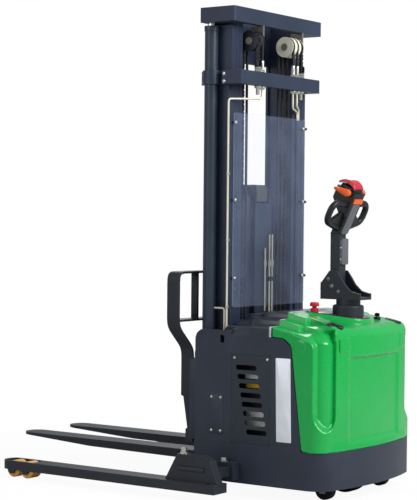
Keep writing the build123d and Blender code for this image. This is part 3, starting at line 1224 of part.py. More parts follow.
# Straddle legs: beam, roller yoke, gusset box and the arm that slides in the cross tube
for name, side in SIDES.items():
    with BuildPart() as leg:
        leg_y = along(side, LEG_OUTER - LEG_WIDTH, LEG_OUTER)
        block((LEG_TIP, LEG_REAR), leg_y, LEG_Z)
        fillet(leg.edges().filter_by(Axis.Z).group_by(Axis.X)[0], (LEG_WIDTH - LEG_TIP_FLAT) / 2)
        for axle_x in LOAD_ROLLER_X:
            pin(axle_x, leg_y, LOAD_ROLLER_R, LOBE_R)
        pocket_reach = LOAD_ROLLER_R + POCKET_PLAY
        pocket_x = (LOAD_ROLLER_X[0] - pocket_reach, LOAD_ROLLER_X[1] + pocket_reach)
        pocket_y = along(side, LEG_OUTER - LEG_WIDTH + YOKE_SIDE, LEG_OUTER - YOKE_SIDE)
        block(pocket_x, pocket_y, (0, LEG_Z[1]), Mode.SUBTRACT)
        for axle_x in LOAD_ROLLER_X:
            pin(axle_x, leg_y, LOAD_ROLLER_R, LOAD_AXLE_R)
        gusset = [
            (GUSSET_FOOT_X, LEG_Z[1]),
            (GUSSET_HEAD_X[0], GUSSET_TOP),
            (GUSSET_HEAD_X[1], GUSSET_TOP),
            (GUSSET_BACK_X, GUSSET_BACK_Z),
            (LEG_REAR, LEG_Z[1]),
        ]
        plate(gusset, along(side, GUSSET_Y - GUSSET_THICK / 2, GUSSET_Y + GUSSET_THICK / 2))
        block(ARM_X, along(side, ARM_END_Y, GUSSET_Y), ARM_Z)
        post(STOP_BOLT_X, side * GUSSET_Y, (GUSSET_TOP, GUSSET_TOP + STOP_BOLT_HEIGHT), STOP_BOLT_R)
    save(leg, f"{name}_leg")
    for place, axle_x in zip(("front", "rear"), LOAD_ROLLER_X):
        with BuildPart() as load_roller:
            centre_y = side * (LEG_OUTER - LEG_WIDTH / 2)
            roller_y = (centre_y - LOAD_ROLLER_WIDTH / 2, centre_y + LOAD_ROLLER_WIDTH / 2)
            pin(axle_x, roller_y, LOAD_ROLLER_R, LOAD_ROLLER_R)
            chamfer(load_roller.edges().filter_by(GeomType.CIRCLE), LOAD_ROLLER_EDGE)
            pin(axle_x, roller_y, LOAD_ROLLER_R, LOAD_AXLE_R + SHAFT_GAP, Mode.SUBTRACT)
        save(load_roller, f"{name}_{place}_load_roller")

# Drive unit: motor and turret above the plate, gearbox leg and axle beside the wheel
with BuildPart() as drive_unit:
    flange_foot = DRIVE_PLATE_Z[1] + SEAT_GAP
    post(STEER_X, 0, (TURRET_BOTTOM, flange_foot), TURRET_R)
    post(STEER_X, 0, (flange_foot, flange_foot + TURRET_FLANGE), TURRET_FLANGE_R)
    post(STEER_X, 0, (flange_foot + TURRET_FLANGE, MOTOR_TOP), MOTOR_R)
    post(STEER_X, 0, (MOTOR_TOP, NECK_FOOT), COLUMN_R)
    box_near = DRIVE_WIDTH / 2 + GEARBOX_GAP
    box_x = (STEER_X - GEARBOX_HALF, STEER_X + GEARBOX_HALF)
    block(box_x, (box_near, box_near + GEARBOX_THICK), (GEARBOX_FOOT, TURRET_BOTTOM))
    pin(STEER_X, (-DRIVE_WIDTH / 2, box_near), DRIVE_R, DRIVE_AXLE_R)
save(drive_unit, "drive_unit")

with BuildPart() as drive_wheel:
    pin(STEER_X, both(DRIVE_WIDTH / 2), DRIVE_R, DRIVE_R)
    fillet(drive_wheel.edges().filter_by(GeomType.CIRCLE), DRIVE_EDGE)
    pin(STEER_X, both(DRIVE_WIDTH / 2), DRIVE_R, DRIVE_AXLE_R + SHAFT_GAP, Mode.SUBTRACT)
save(drive_wheel, "drive_wheel")

# Casters beside the drive wheel
for name, side in SIDES.items():
    wheel_x = CASTER_X + CASTER_TRAIL
    wheel_y = side * CASTER_Y
    with BuildPart() as caster_fork:
        post(CASTER_X, wheel_y, CASTER_PLATE_Z, CASTER_PLATE_R)
        post(CASTER_X, wheel_y, (CASTER_PLATE_Z[1], CASTER_PLATE_Z[1] + CASTER_STEM), CASTER_STEM_R)
        cheek_near = CASTER_WIDTH / 2 + CASTER_CHEEK_GAP
        for cheek_side in (-1, 1):
            cheek_far = cheek_near + CASTER_CHEEK
            cheek_y = sorted(wheel_y + cheek_side * reach for reach in (cheek_near, cheek_far))
            cheek_outline = [
                (CASTER_X - CASTER_PLATE_R / 2, CASTER_PLATE_Z[1]),
                (wheel_x - 2 * CASTER_AXLE_R, CASTER_R - 2 * CASTER_AXLE_R),
                (wheel_x + 2 * CASTER_AXLE_R, CASTER_R - 2 * CASTER_AXLE_R),
                (wheel_x + CASTER_AXLE_R, CASTER_PLATE_Z[1]),
            ]
            plate(cheek_outline, cheek_y)
        crown_x = (CASTER_X - CASTER_PLATE_R / 2, wheel_x + CASTER_AXLE_R)
        crown_half = cheek_near + CASTER_CHEEK
        block(crown_x, (wheel_y - crown_half, wheel_y + crown_half), CASTER_PLATE_Z)
        pin(wheel_x, (wheel_y - cheek_near, wheel_y + cheek_near), CASTER_R, CASTER_AXLE_R)
    save(caster_fork, f"{name}_caster_fork")
    with BuildPart() as caster_wheel:
        tread = (wheel_y - CASTER_WIDTH / 2, wheel_y + CASTER_WIDTH / 2)
        pin(wheel_x, tread, CASTER_R, CASTER_R)
        fillet(caster_wheel.edges().filter_by(GeomType.CIRCLE), LOAD_ROLLER_EDGE)
        pin(wheel_x, tread, CASTER_R, CASTER_AXLE_R + SHAFT_GAP, Mode.SUBTRACT)
    save(caster_wheel, f"{name}_caster_wheel")

# Tiller collar on the console, and the bracket that turns in it
with BuildPart() as tiller_collar:
    collar_foot = DECK_Z - SHOULDER_DROP
    post(STEER_X, 0, (collar_foot, COLLAR_TOP), COLLAR_R)
    fillet(tiller_collar.edges().group_by(Axis.Z)[-1], COLLAR_ROUND)
    post(STEER_X, 0, (collar_foot, COLLAR_TOP), NECK_R + SEAT_GAP, Mode.SUBTRACT)
    ends = (STEER_X - CONSOLE_R, STEER_X + CONSOLE_R)
    rise = CONSOLE_THICK * slope_length
    below = [
        (ends[0], collar_foot),
        (ends[1], collar_foot),
        (ends[1], deck_height(ends[1], -rise)),
        (ends[0], deck_height(ends[0], -rise)),
    ]
    plate(below, both(CONSOLE_R), mode=Mode.SUBTRACT)
save(tiller_collar, "tiller_collar")

with BuildPart() as tiller_base:
    post(STEER_X, 0, (NECK_FOOT, NECK_TOP), NECK_R)
    block(BRACKET_X, both(BRACKET_Y[1]), (NECK_TOP - BRACKET_SOLE, NECK_TOP))
    bracket_cheek = [
        (BRACKET_X[0], NECK_TOP - BRACKET_SOLE),
        (BRACKET_X[0], BRACKET_SHOULDER_Z),
        (BRACKET_CREST_X - BRACKET_CREST, BRACKET_CREST_Z),
        (BRACKET_CREST_X + BRACKET_CREST, BRACKET_CREST_Z),
        *[(STEER_X + behind, NECK_TOP + rise) for behind, rise in BRACKET_CURVE],
        (BRACKET_X[1], NECK_TOP + BRACKET_LIP),
        (BRACKET_X[1], NECK_TOP - BRACKET_SOLE),
    ]
    for side in SIDES.values():
        plate(bracket_cheek, along(side, *BRACKET_Y))
    pin(PIVOT_X, both(BRACKET_Y[1] + SCREW_HEAD), PIVOT_Z, PIVOT_R)
save(tiller_base, "tiller_base")

# Tiller arm on its pivot
with BuildPart() as tiller_arm:
    arm_x = (PIVOT_X - ARM_DEPTH / 2, PIVOT_X + ARM_DEPTH / 2)
    block(arm_x, both(ARM_HALF), (PIVOT_Z, ARM_TOP))
    fillet(tiller_arm.edges().filter_by(Axis.Z), ARM_EDGE)
    cover_foot = PIVOT_Z + ARM_COVER_RISE
    cover_side = [
        (arm_x[1] - ARM_COVER, cover_foot),
        (arm_x[1], cover_foot),
        (arm_x[1] + ARM_COVER, cover_foot + ARM_COVER),
        (arm_x[1] + ARM_COVER, ARM_TOP - ARM_COVER_DROP),
        (arm_x[1] - ARM_COVER, ARM_TOP - ARM_COVER_DROP),
    ]
    plate(cover_side, both(ARM_COVER_HALF))
    pin(PIVOT_X, both(ARM_HALF), PIVOT_Z, ARM_DEPTH / 2)
    pin(PIVOT_X, both(BRACKET_Y[0] - SEAT_GAP), PIVOT_Z, 2 * PIVOT_R)
    pin(PIVOT_X, both(BRACKET_Y[1]), PIVOT_Z, PIVOT_R + SHAFT_GAP, Mode.SUBTRACT)
save(tiller_arm, "tiller_arm")

# Tiller head: drawn on a plane that leans towards the operator; Z runs up the head,
# X across it, and -Y is the face that the operator sees
lean = radians(HEAD_LEAN)
head_plane = Plane(
    origin=(DATUM_X + PIVOT_X, 0, ARM_TOP), x_dir=(0, 1, 0), z_dir=(sin(lean), 0, cos(lean))
)
head_side = Plane(origin=head_plane.origin, x_dir=head_plane.y_dir, z_dir=head_plane.x_dir)
head_front = Plane(origin=head_plane.origin, x_dir=head_plane.x_dir, z_dir=-head_plane.y_dir)
bottom = (Align.CENTER, Align.CENTER, Align.MIN)
with BuildPart(head_plane) as tiller_head:
    with Locations((0, 0, -NECK_DEPTH / 2)):
        Box(2 * NECK_HALF, NECK_DEPTH, NECK_LENGTH + NECK_DEPTH, align=bottom)
    with BuildSketch(head_side) as head_profile:
        with BuildLine():
            Polyline(
                (-HEAD_FACE, NECK_LENGTH),
                (-HEAD_FACE, HEAD_LENGTH),
                (HEAD_NOSE, HEAD_LENGTH),
                (HEAD_NOSE, HEAD_NOSE_FOOT),
                (0, HEAD_CHIN),
                close=True,
            )
        make_face()
    extrude(head_profile.sketch, amount=HEAD_WIDE, both=True)
    head_axis_z = Axis(head_plane.origin, head_plane.z_dir)
    fillet(tiller_head.edges().filter_by(head_axis_z), HEAD_EDGE)
    for side in SIDES.values():
        with BuildLine(head_plane) as loop_path:
            FilletPolyline(
                (0, 0, LOOP_FOOT),
                (side * LOOP_REACH, 0, LOOP_HEEL),
                (side * LOOP_REACH, 0, LOOP_CREST),
                (0, 0, LOOP_JOIN),
                radius=LOOP_BEND,
            )
        with BuildSketch(Plane(loop_path.line @ 0, z_dir=loop_path.line % 0)) as grip:
            Circle(LOOP_R)
        sweep(grip.sketch, path=loop_path.line)
        with BuildSketch(head_front) as web:
            with BuildLine():
                web_tip = side * (LOOP_REACH - LOOP_BEND / 2)
                Polyline((0, LOOP_FOOT), (web_tip, LOOP_HEEL), (0, WEB_JOIN), close=True)
            make_face()
        extrude(web.sketch, amount=WEB_HALF, both=True)
    with Locations((0, WING_OFFSET, WING_AT)):
        Cylinder(WING_SHAFT_R + SHAFT_GAP, 2 * HEAD_WIDE, rotation=(0, 90, 0), mode=Mode.SUBTRACT)
    with Locations((0, BELLY_OFFSET, HEAD_LENGTH - BELLY_STEM)):
        Cylinder(BELLY_STEM_R + SHAFT_GAP, BELLY_STEM, align=bottom, mode=Mode.SUBTRACT)
    with Locations((0, -HEAD_FACE + HORN_SEAT / 2, HORN_AT)):
        seat_size = (2 * (HORN_HALF + SHAFT_GAP), HORN_SEAT, HORN_TALL + 2 * SHAFT_GAP)
        Box(*seat_size, mode=Mode.SUBTRACT)
    split(bisect_by=Plane.XY.offset(ARM_TOP), keep=Keep.TOP)
save(tiller_head, "tiller_head")

# Thumb wings on one shaft through the head
with BuildPart(head_plane) as butterfly:
    with Locations((0, WING_OFFSET, WING_AT)):
        Cylinder(WING_SHAFT_R, 2 * (HEAD_WIDE + WING_GAP), rotation=(0, 90, 0))
    for side in SIDES.values():
        with Locations((side * (HEAD_WIDE + WING_GAP + WING_WIDTH / 2), WING_OFFSET, WING_AT)):
            Box(WING_WIDTH, WING_LENGTH, WING_THICK)
    fillet(butterfly.faces().sort_by(Axis.Y)[0].edges(), WING_THICK / 4)
    fillet(butterfly.faces().sort_by(Axis.Y)[-1].edges(), WING_THICK / 4)
save(butterfly, "butterfly")

# Belly button, the safety pad on the end of the head
with BuildPart(head_plane) as belly_button:
    pad_foot = HEAD_LENGTH + BELLY_GAP
    pad_edge = pad_foot + BELLY_EDGE
    pad_ends = (BELLY_AHEAD - BELLY_REACH, BELLY_AHEAD + BELLY_REACH)
    pad_crest = (BELLY_AHEAD, pad_foot + BELLY_RISE)
    pad_vault = (BELLY_AHEAD, pad_foot + BELLY_RISE - BELLY_THICK)
    with BuildSketch(head_side) as pad_profile:
        with BuildLine():
            ThreePointArc((pad_ends[0], pad_edge), pad_crest, (pad_ends[1], pad_edge))
            Line((pad_ends[1], pad_edge), (pad_ends[1], pad_foot))
            ThreePointArc((pad_ends[1], pad_foot), pad_vault, (pad_ends[0], pad_foot))
            Line((pad_ends[0], pad_foot), (pad_ends[0], pad_edge))
        make_face()
    extrude(pad_profile.sketch, amount=BELLY_HALF, both=True)
    pad_axis = Axis(head_plane.origin, head_plane.z_dir)
    fillet(belly_button.faces().sort_by(pad_axis)[-1].edges(), BELLY_EDGE / 3)
    with Locations((0, BELLY_OFFSET, HEAD_LENGTH - BELLY_STEM + BELLY_GAP)):
        Cylinder(BELLY_STEM_R, BELLY_STEM + BELLY_THICK, align=bottom)
save(belly_button, "belly_button")

# Horn button on the operator's face of the head
with BuildPart(head_plane) as horn_button:
    horn_length = HORN_PROUD + HORN_SEAT - HORN_TRAVEL
    with Locations((0, -HEAD_FACE - HORN_PROUD + horn_length / 2, HORN_AT)):
        Box(2 * HORN_HALF, horn_length, HORN_TALL)
save(horn_button, "horn_button")
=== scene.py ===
import math
import bmesh
import bpy
import numpy as np
from mathutils import Matrix


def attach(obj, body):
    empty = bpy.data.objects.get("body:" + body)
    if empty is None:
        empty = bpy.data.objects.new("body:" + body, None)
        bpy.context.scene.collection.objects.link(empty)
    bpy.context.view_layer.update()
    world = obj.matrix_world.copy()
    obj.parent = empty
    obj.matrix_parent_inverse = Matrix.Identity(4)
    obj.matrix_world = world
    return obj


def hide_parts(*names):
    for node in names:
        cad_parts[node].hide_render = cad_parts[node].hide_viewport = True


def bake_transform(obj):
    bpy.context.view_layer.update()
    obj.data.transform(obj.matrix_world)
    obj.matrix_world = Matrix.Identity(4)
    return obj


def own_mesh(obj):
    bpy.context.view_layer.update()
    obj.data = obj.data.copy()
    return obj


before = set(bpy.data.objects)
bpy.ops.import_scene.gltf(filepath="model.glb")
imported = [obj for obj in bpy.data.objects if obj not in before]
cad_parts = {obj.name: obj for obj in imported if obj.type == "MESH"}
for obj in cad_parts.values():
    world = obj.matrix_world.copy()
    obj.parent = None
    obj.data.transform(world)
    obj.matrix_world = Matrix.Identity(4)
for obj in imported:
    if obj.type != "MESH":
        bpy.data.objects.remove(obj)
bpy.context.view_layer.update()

# Studio: a pale floor under a white surround, with three soft panels of light.
# The key panel stands high on the operator's side, a weaker one fills the near
# side, and a third lifts the edges from behind. The camera stands where the photo was taken.
MM = 0.001
DATUM = 0.396
scene = bpy.context.scene
scene.view_settings.view_transform = "Standard"


def shade(red, green, blue):
    """A colour as seen on a display, 0 to 255, as the linear colour that shaders take."""
    share = np.array([red, green, blue]) / 255.0
    low = share / 12.92
    high = ((share + 0.055) / 1.055) ** 2.4
    return (*np.where(share <= 0.04045, low, high), 1.0)


def wired(tree, kind, inputs=None, **settings):
    """Add a node, set its properties, and give each input a value or a link."""
    node = tree.nodes.new(kind)
    for name, value in settings.items():
        setattr(node, name, value)
    for name, value in (inputs or {}).items():
        if isinstance(value, bpy.types.NodeSocket):
            tree.links.new(value, node.inputs[name])
        else:
            node.inputs[name].default_value = value
    return node


def seen_direct(tree):
    """One where the ray comes straight from the camera or through clear plastic, else nothing."""
    path = wired(tree, "ShaderNodeLightPath")
    either = wired(tree, "ShaderNodeMath", {0: path.outputs["Is Camera Ray"],
                                            1: path.outputs["Is Transmission Ray"]}, operation="MAXIMUM")
    return either.outputs[0]


def fresh_material(name):
    """A new material and its node tree, still empty."""
    material = bpy.data.materials.new(name)
    material.use_nodes = True
    material.node_tree.nodes.clear()
    return material, material.node_tree


COOL_WHITE = (0.9, 0.95, 1.0, 1.0)
WHITE = (1.0, 1.0, 1.0, 1.0)
SURROUND_POWER = 0.5
world = bpy.data.worlds.new("studio_surround")
world.use_nodes = True
world.node_tree.nodes.clear()
surround_light = wired(world.node_tree, "ShaderNodeBackground", {"Color": COOL_WHITE,
                                                                 "Strength": SURROUND_POWER})
surround_white = wired(world.node_tree, "ShaderNodeBackground", {"Color": WHITE, "Strength": 1.0})
surround = wired(world.node_tree, "ShaderNodeMixShader", {0: seen_direct(world.node_tree),
                                                          1: surround_light.outputs[0],
                                                          2: surround_white.outputs[0]})
wired(world.node_tree, "ShaderNodeOutputWorld", {"Surface": surround.outputs[0]})
scene.world = world

FLOOR_HALF = 14.0
FLOOR_GREY = (0.6, 0.6, 0.6, 1.0)
FLOOR_GLOW = 1.04
FLOOR_FADE = (1.6, 3.6)
FLOOR_WHITE_SHARE = (0.9, 1.0)
floor_mesh = bpy.data.meshes.new("floor")
floor_corners = FLOOR_HALF * np.array([[-1, -1, 0], [1, -1, 0], [1, 1, 0], [-1, 1, 0]])
floor_mesh.from_pydata(floor_corners.tolist(), [], [(0, 1, 2, 3)])
floor = bpy.data.objects.new("floor", floor_mesh)
scene.collection.objects.link(floor)
floor_paint, floor_tree = fresh_material("pale_floor")
floor_body = wired(floor_tree, "ShaderNodeBsdfDiffuse", {"Color": FLOOR_GREY})
floor_white = wired(floor_tree, "ShaderNodeEmission", {"Color": WHITE, "Strength": FLOOR_GLOW})
floor_place = wired(floor_tree, "ShaderNodeTexCoord").outputs["Object"]
floor_away = wired(floor_tree, "ShaderNodeVectorMath", {0: floor_place}, operation="LENGTH")
floor_fade = wired(floor_tree, "ShaderNodeMapRange", {"Value": floor_away.outputs["Value"],
                                                      "From Min": FLOOR_FADE[0], "From Max": FLOOR_FADE[1],
                                                      "To Min": FLOOR_WHITE_SHARE[0],
                                                      "To Max": FLOOR_WHITE_SHARE[1]})
floor_share = wired(floor_tree, "ShaderNodeMath", {0: seen_direct(floor_tree),
                                                   1: floor_fade.outputs["Result"]}, operation="MULTIPLY")
floor_mix = wired(floor_tree, "ShaderNodeMixShader", {0: floor_share.outputs[0],
                                                      1: floor_body.outputs[0],
                                                      2: floor_white.outputs[0]})
wired(floor_tree, "ShaderNodeOutputMaterial", {"Surface": floor_mix.outputs[0]})
floor_mesh.materials.append(floor_paint)


def light_panel(name, place, aim, size, power):
    """A square soft lamp at a place, turned to shine at an aim point."""
    lamp = bpy.data.lights.new(name, "AREA")
    lamp.size = size
    lamp.energy = power
    holder = bpy.data.objects.new(name, lamp)
    scene.collection.objects.link(holder)
    away = np.array(place) - np.array(aim)
    back = away / np.linalg.norm(away)
    side = np.cross((0.0, 0.0, 1.0), back)
    side = side / np.linalg.norm(side)
    turn = np.identity(4)
    turn[:3, :] = np.stack([side, np.cross(back, side), back, np.array(place)], axis=1)
    holder.matrix_world = Matrix(turn.tolist())


BODY_MIDDLE = (0.3, 0.0, 0.9)
light_panel("key_panel", (5.2, 0.0, 3.8), BODY_MIDDLE, 2.6, 290.0)
light_panel("fill_panel", (-1.2, -5.6, 2.8), BODY_MIDDLE, 3.2, 72.0)
light_panel("back_panel", (-2.5, 4.6, 4.2), BODY_MIDDLE, 2.4, 90.0)

CAMERA_PLACE = (4.2658, -6.0508, 1.1727)
CAMERA_TURN = math.radians(35.07)
CAMERA_PITCH = math.radians(1.035)
CAMERA_ROLL = math.radians(0.539)
CAMERA_LENS = 115.29
CAMERA_SENSOR = 36.0
ahead = np.array([-math.sin(CAMERA_TURN) * math.cos(CAMERA_PITCH),
                  math.cos(CAMERA_TURN) * math.cos(CAMERA_PITCH),
                  -math.sin(CAMERA_PITCH)])
level = np.array([math.cos(CAMERA_TURN), math.sin(CAMERA_TURN), 0.0])
upright = np.cross(level, ahead)
camera_right = math.cos(CAMERA_ROLL) * level + math.sin(CAMERA_ROLL) * upright
camera_up = math.cos(CAMERA_ROLL) * upright - math.sin(CAMERA_ROLL) * level
camera_data = bpy.data.cameras.new("photo_camera")
camera_data.lens = CAMERA_LENS
camera_data.sensor_width = CAMERA_SENSOR
camera = bpy.data.objects.new("photo_camera", camera_data)
scene.collection.objects.link(camera)
camera_matrix = np.identity(4)
camera_matrix[:3, :] = np.stack([camera_right, camera_up, -ahead, np.array(CAMERA_PLACE)], axis=1)
camera.matrix_world = Matrix(camera_matrix.tolist())
scene.camera = camera


# Chassis: the low bow-shaped skirt with two upright side walls, folded and welded
# from steel plate and powder coated in charcoal. A flat cover plate is screwed on
# the front of each wall with four small screws, and a flange stands along its front edge.
def at(x, y, z):
    """Places in millimetres from the mast datum, as metres in the shared frame."""
    x, y, z = np.broadcast_arrays(np.asarray(x, float), np.asarray(y, float), np.asarray(z, float))
    return np.stack([DATUM + MM * x, MM * y, MM * z], axis=-1)


def surface_maps(tree, drift_scale, grain_scale, edge_radius):
    """Wide noise for drift, fine noise for grain, and the normal with its edges rounded off."""
    where = wired(tree, "ShaderNodeTexCoord").outputs["Object"]
    drift = wired(tree, "ShaderNodeTexNoise", {"Vector": where, "Scale": drift_scale, "Detail": 5.0})
    grain = wired(tree, "ShaderNodeTexNoise", {"Vector": where, "Scale": grain_scale, "Detail": 2.0})
    round_edge = wired(tree, "ShaderNodeBevel", {"Radius": edge_radius}, samples=4)
    return drift.outputs["Fac"], grain.outputs["Fac"], round_edge.outputs["Normal"]


def spread(tree, value, low, high):
    """Stretch the middle of a noise to run from low to high."""
    return wired(tree, "ShaderNodeMapRange", {"Value": value, "From Min": 0.3, "From Max": 0.7,
                                              "To Min": low, "To Max": high}).outputs["Result"]


def drifting(tree, noise, colour, darker, paler):
    """A colour that drifts with a noise from a darker share of itself to a paler one."""
    base = np.array(shade(*colour))[:3]
    mix = wired(tree, "ShaderNodeMix", {"Factor": spread(tree, noise, 0.0, 1.0),
                                        6: (*(darker * base), 1.0),
                                        7: (*(paler * base), 1.0)}, data_type="RGBA")
    return mix.outputs[2]


def surfaced(tree, inputs):
    """The surface shader with its inputs, joined to the output of the material."""
    shader = wired(tree, "ShaderNodeBsdfPrincipled", inputs)
    wired(tree, "ShaderNodeOutputMaterial", {"Surface": shader.outputs[0]})


def painted(name, colour, rough=0.42, drift=0.14, worn_edge_highlight=(120, 124, 130), wear_highlight_share=0.35):
    """Powder coat on steel. The colour drifts with a wide noise, a fine noise gives its orange-peel skin,
    and where a rounded edge turns off the flat face the colour goes to a pale edge colour: partly a coat
    worn thin, partly a painted highlight along the edge."""
    material, tree = fresh_material(name)
    wide, grain, edge = surface_maps(tree, 5.0, 620.0, 0.0025)
    body = drifting(tree, wide, colour, 1.0 - drift, 1.0 + drift)
    flat = wired(tree, "ShaderNodeNewGeometry").outputs["Normal"]
    turn = wired(tree, "ShaderNodeVectorMath", {0: edge, 1: flat}, operation="DOT_PRODUCT")
    # Pale rounded edges: partly worn coat, partly a painted highlight standing for light that catches the
    # edges.
    rim = wired(tree, "ShaderNodeMapRange", {"Value": turn.outputs["Value"], "From Min": 0.97,
                                             "From Max": 0.75, "To Min": 0.0, "To Max": wear_highlight_share})
    patchy_edge_highlight = wired(tree, "ShaderNodeMath", {0: rim.outputs["Result"], 1: spread(tree, grain, 0.5, 1.0)},
                   operation="MULTIPLY")
    coat = wired(tree, "ShaderNodeMix", {"Factor": patchy_edge_highlight.outputs[0], 6: body, 7: shade(*worn_edge_highlight)},
                 data_type="RGBA")
    skin = wired(tree, "ShaderNodeBump", {"Strength": 0.12, "Distance": 0.0004,
                                          "Height": grain, "Normal": edge})
    satin = spread(tree, wide, rough - 0.05, rough + 0.05)
    surfaced(tree, {"Base Color": coat.outputs[2], "Roughness": satin, "Specular IOR Level": 0.28,
                    "Normal": skin.outputs["Normal"]})
    return material


def dress(material, *nodes):
    """Give CAD nodes a finish."""
    for name in nodes:
        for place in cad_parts[name].material_slots:
            place.material = material


def ring_faces(rows, columns, wrap):
    """Corner numbers of the faces of a grid of points, the columns joined round where wrap is set."""
    row = np.arange(rows - 1)[:, None]
    column = np.arange(columns if wrap else columns - 1)[None, :]
    after = (column + 1) % columns
    corners = [row * columns + column, row * columns + after,
               (row + 1) * columns + after, (row + 1) * columns + column]
    return np.stack(corners, axis=-1).reshape(-1, 4)


def piece(name, grids, material, body, wrap=True, sharp=38.0):
    """One object from grids of points, each closed by its maker to a pole or left with an edge.
    Doubles are merged, normals turned outwards, and sharp corners kept."""
    points = np.concatenate([grid.reshape(-1, 3) for grid in grids])
    starts = np.cumsum([0] + [grid.shape[0] * grid.shape[1] for grid in grids])
    faces = np.concatenate([start + ring_faces(grid.shape[0], grid.shape[1], wrap)
                            for grid, start in zip(grids, starts)])
    mesh = bpy.data.meshes.new(name)
    mesh.from_pydata(points.tolist(), [], faces.tolist())
    work = bmesh.new()
    work.from_mesh(mesh)
    bmesh.ops.remove_doubles(work, verts=work.verts, dist=1e-6)
    bmesh.ops.recalc_face_normals(work, faces=work.faces)
    work.to_mesh(mesh)
    work.free()
    mesh.shade_smooth()
    mesh.set_sharp_from_angle(angle=math.radians(sharp))
    mesh.materials.append(material)
    made = bpy.data.objects.new(name, mesh)
    scene.collection.objects.link(made)
    if body:
        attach(made, body)
    return made


def rounded(width, height, radius, steps=8):
    """Outline of a rectangle with rounded corners: a circle's points pushed out to the corners."""
    turn = (np.arange(4 * steps) + 0.5) * (2 * np.pi / (4 * steps))
    return np.stack([np.sign(np.cos(turn)) * (width / 2 - radius) + radius * np.cos(turn),
                     np.sign(np.sin(turn)) * (height / 2 - radius) + radius * np.sin(turn)], axis=-1)


def slab(outline, low, high, edge):
    """A plate as rows (a, b, c): its outline at rising heights c, drawn in by the edge at top and foot."""
    tangent = np.roll(outline, -1, axis=0) - np.roll(outline, 1, axis=0)
    normal = np.stack([tangent[:, 1], -tangent[:, 0]], axis=-1)
    normal = normal / np.maximum(np.linalg.norm(normal, axis=1, keepdims=True), 1e-9)
    middle = np.broadcast_to(outline.mean(axis=0), outline.shape)
    drawn = outline - edge * normal
    half = outline - KNEE * edge * normal
    rows = [middle, drawn, half, outline, outline, half, drawn, middle]
    heights = [low, low, low + KNEE * edge, low + edge, high - edge, high - KNEE * edge, high, high]
    return np.stack([np.concatenate([row, np.full((len(row), 1), height)], axis=1)
                     for row, height in zip(rows, heights)])


def on_side(plate, side, x, z):
    """A plate that faces sideways: its outline runs along X and Z from a place, its thickness along Y."""
    return at(x + plate[..., 0], side * plate[..., 2], z + plate[..., 1])


SIDES = {"left": -1, "right": 1}
KNEE = 0.3
CHASSIS_HALF = 395.0
COVER_PLACE = (-53.5, 344.0)
COVER_PROUD = 1.6
FLANGE_PLACE = (-178.0, 397.0)
charcoal = painted("charcoal_powder_coat", (45, 51, 64))
dress(charcoal, "chassis_frame", "leg_cross_tube")
cover_plate = slab(rounded(76.0, 172.0, 8.0), CHASSIS_HALF - 0.5, CHASSIS_HALF + COVER_PROUD, 0.6)
for side_name, side in SIDES.items():
    piece(side_name + "_cheek_plate", [on_side(cover_plate, side, *COVER_PLACE)],
          charcoal, "chassis")
flange = slab(rounded(52.0, 350.0, 10.0), CHASSIS_HALF - 21.0, CHASSIS_HALF - 11.5, 1.2)
piece("cheek_flanges", [on_side(flange, side, *FLANGE_PLACE) for side in SIDES.values()],
      charcoal, "chassis")


# Vent panels: thin steel sheets with eight slots, let into the side walls and held by
# two screws at the top. The battery behind them carries bare white and yellow stickers.
# A bare bright strip is stuck on each wall beside the panel.
def drawn_metal(name, colour, rough=0.3, stretch=(1.0, 1.0, 1.0), dirt=0.2, metal=1.0):
    """Bare metal. A noise stretched along the way it was drawn or turned varies roughness and colour."""
    material, tree = fresh_material(name)
    where = wired(tree, "ShaderNodeTexCoord").outputs["Object"]
    along = wired(tree, "ShaderNodeMapping", {"Vector": where, "Scale": stretch}).outputs["Vector"]
    streaks = wired(tree, "ShaderNodeTexNoise", {"Vector": along, "Scale": 240.0, "Detail": 3.0})
    streak = streaks.outputs["Fac"]
    patches = wired(tree, "ShaderNodeTexNoise", {"Vector": where, "Scale": 18.0, "Detail": 4.0})
    body = drifting(tree, patches.outputs["Fac"], colour, 1.0 - dirt, 1.0)
    edge = wired(tree, "ShaderNodeBevel", {"Radius": 0.001}, samples=4).outputs["Normal"]
    skin = wired(tree, "ShaderNodeBump", {"Strength": 0.1, "Distance": 0.0003,
                                          "Height": streak, "Normal": edge})
    brushed = spread(tree, streak, rough - 0.06, rough + 0.1)
    surfaced(tree, {"Base Color": body, "Metallic": metal, "Roughness": brushed,
                    "Normal": skin.outputs["Normal"]})
    return material


panel_coat = painted("panel_powder_coat", (43, 48, 58))
dress(panel_coat, "left_vent_panel", "right_vent_panel")
white_sticker = painted("white_sticker_film", (246, 246, 240), 0.5, 0.03, (246, 246, 240), 0.0)
yellow_sticker = painted("yellow_sticker_film", (246, 204, 40), 0.5, 0.05, (246, 204, 40), 0.0)
bright_strip = drawn_metal("brushed_strip", (238, 239, 245), 0.42, (1.0, 1.0, 0.04), 0.08, 0.35)
STICKERS = {"upper_white": (108.0, 512.0, 124.0, 30.0, white_sticker),
            "yellow": (112.0, 473.0, 124.0, 30.0, yellow_sticker),
            "lower_white": (130.0, 326.0, 158.0, 84.0, white_sticker)}
BATTERY_FACE = 320.0
STRIP_PLACE = (289.0, 425.0)
STRIP_LEAN = 0.02
strip = slab(rounded(73.0, 352.0, 4.0), CHASSIS_HALF - 0.4, CHASSIS_HALF + 1.2, 0.4)
for side_name, side in SIDES.items():
    for label, (x, z, width, height, film) in STICKERS.items():
        sheet = slab(rounded(width, height, 4.0), BATTERY_FACE, BATTERY_FACE + 1.0, 0.3)
        piece(f"{side_name}_{label}_sticker", [on_side(sheet, side, x, z)], film, "chassis")
    leaning = STRIP_PLACE[0] - STRIP_LEAN * strip[..., 1]
    piece(side_name + "_bright_strip", [on_side(strip, side, leaning, STRIP_PLACE[1])],
          bright_strip, "chassis")


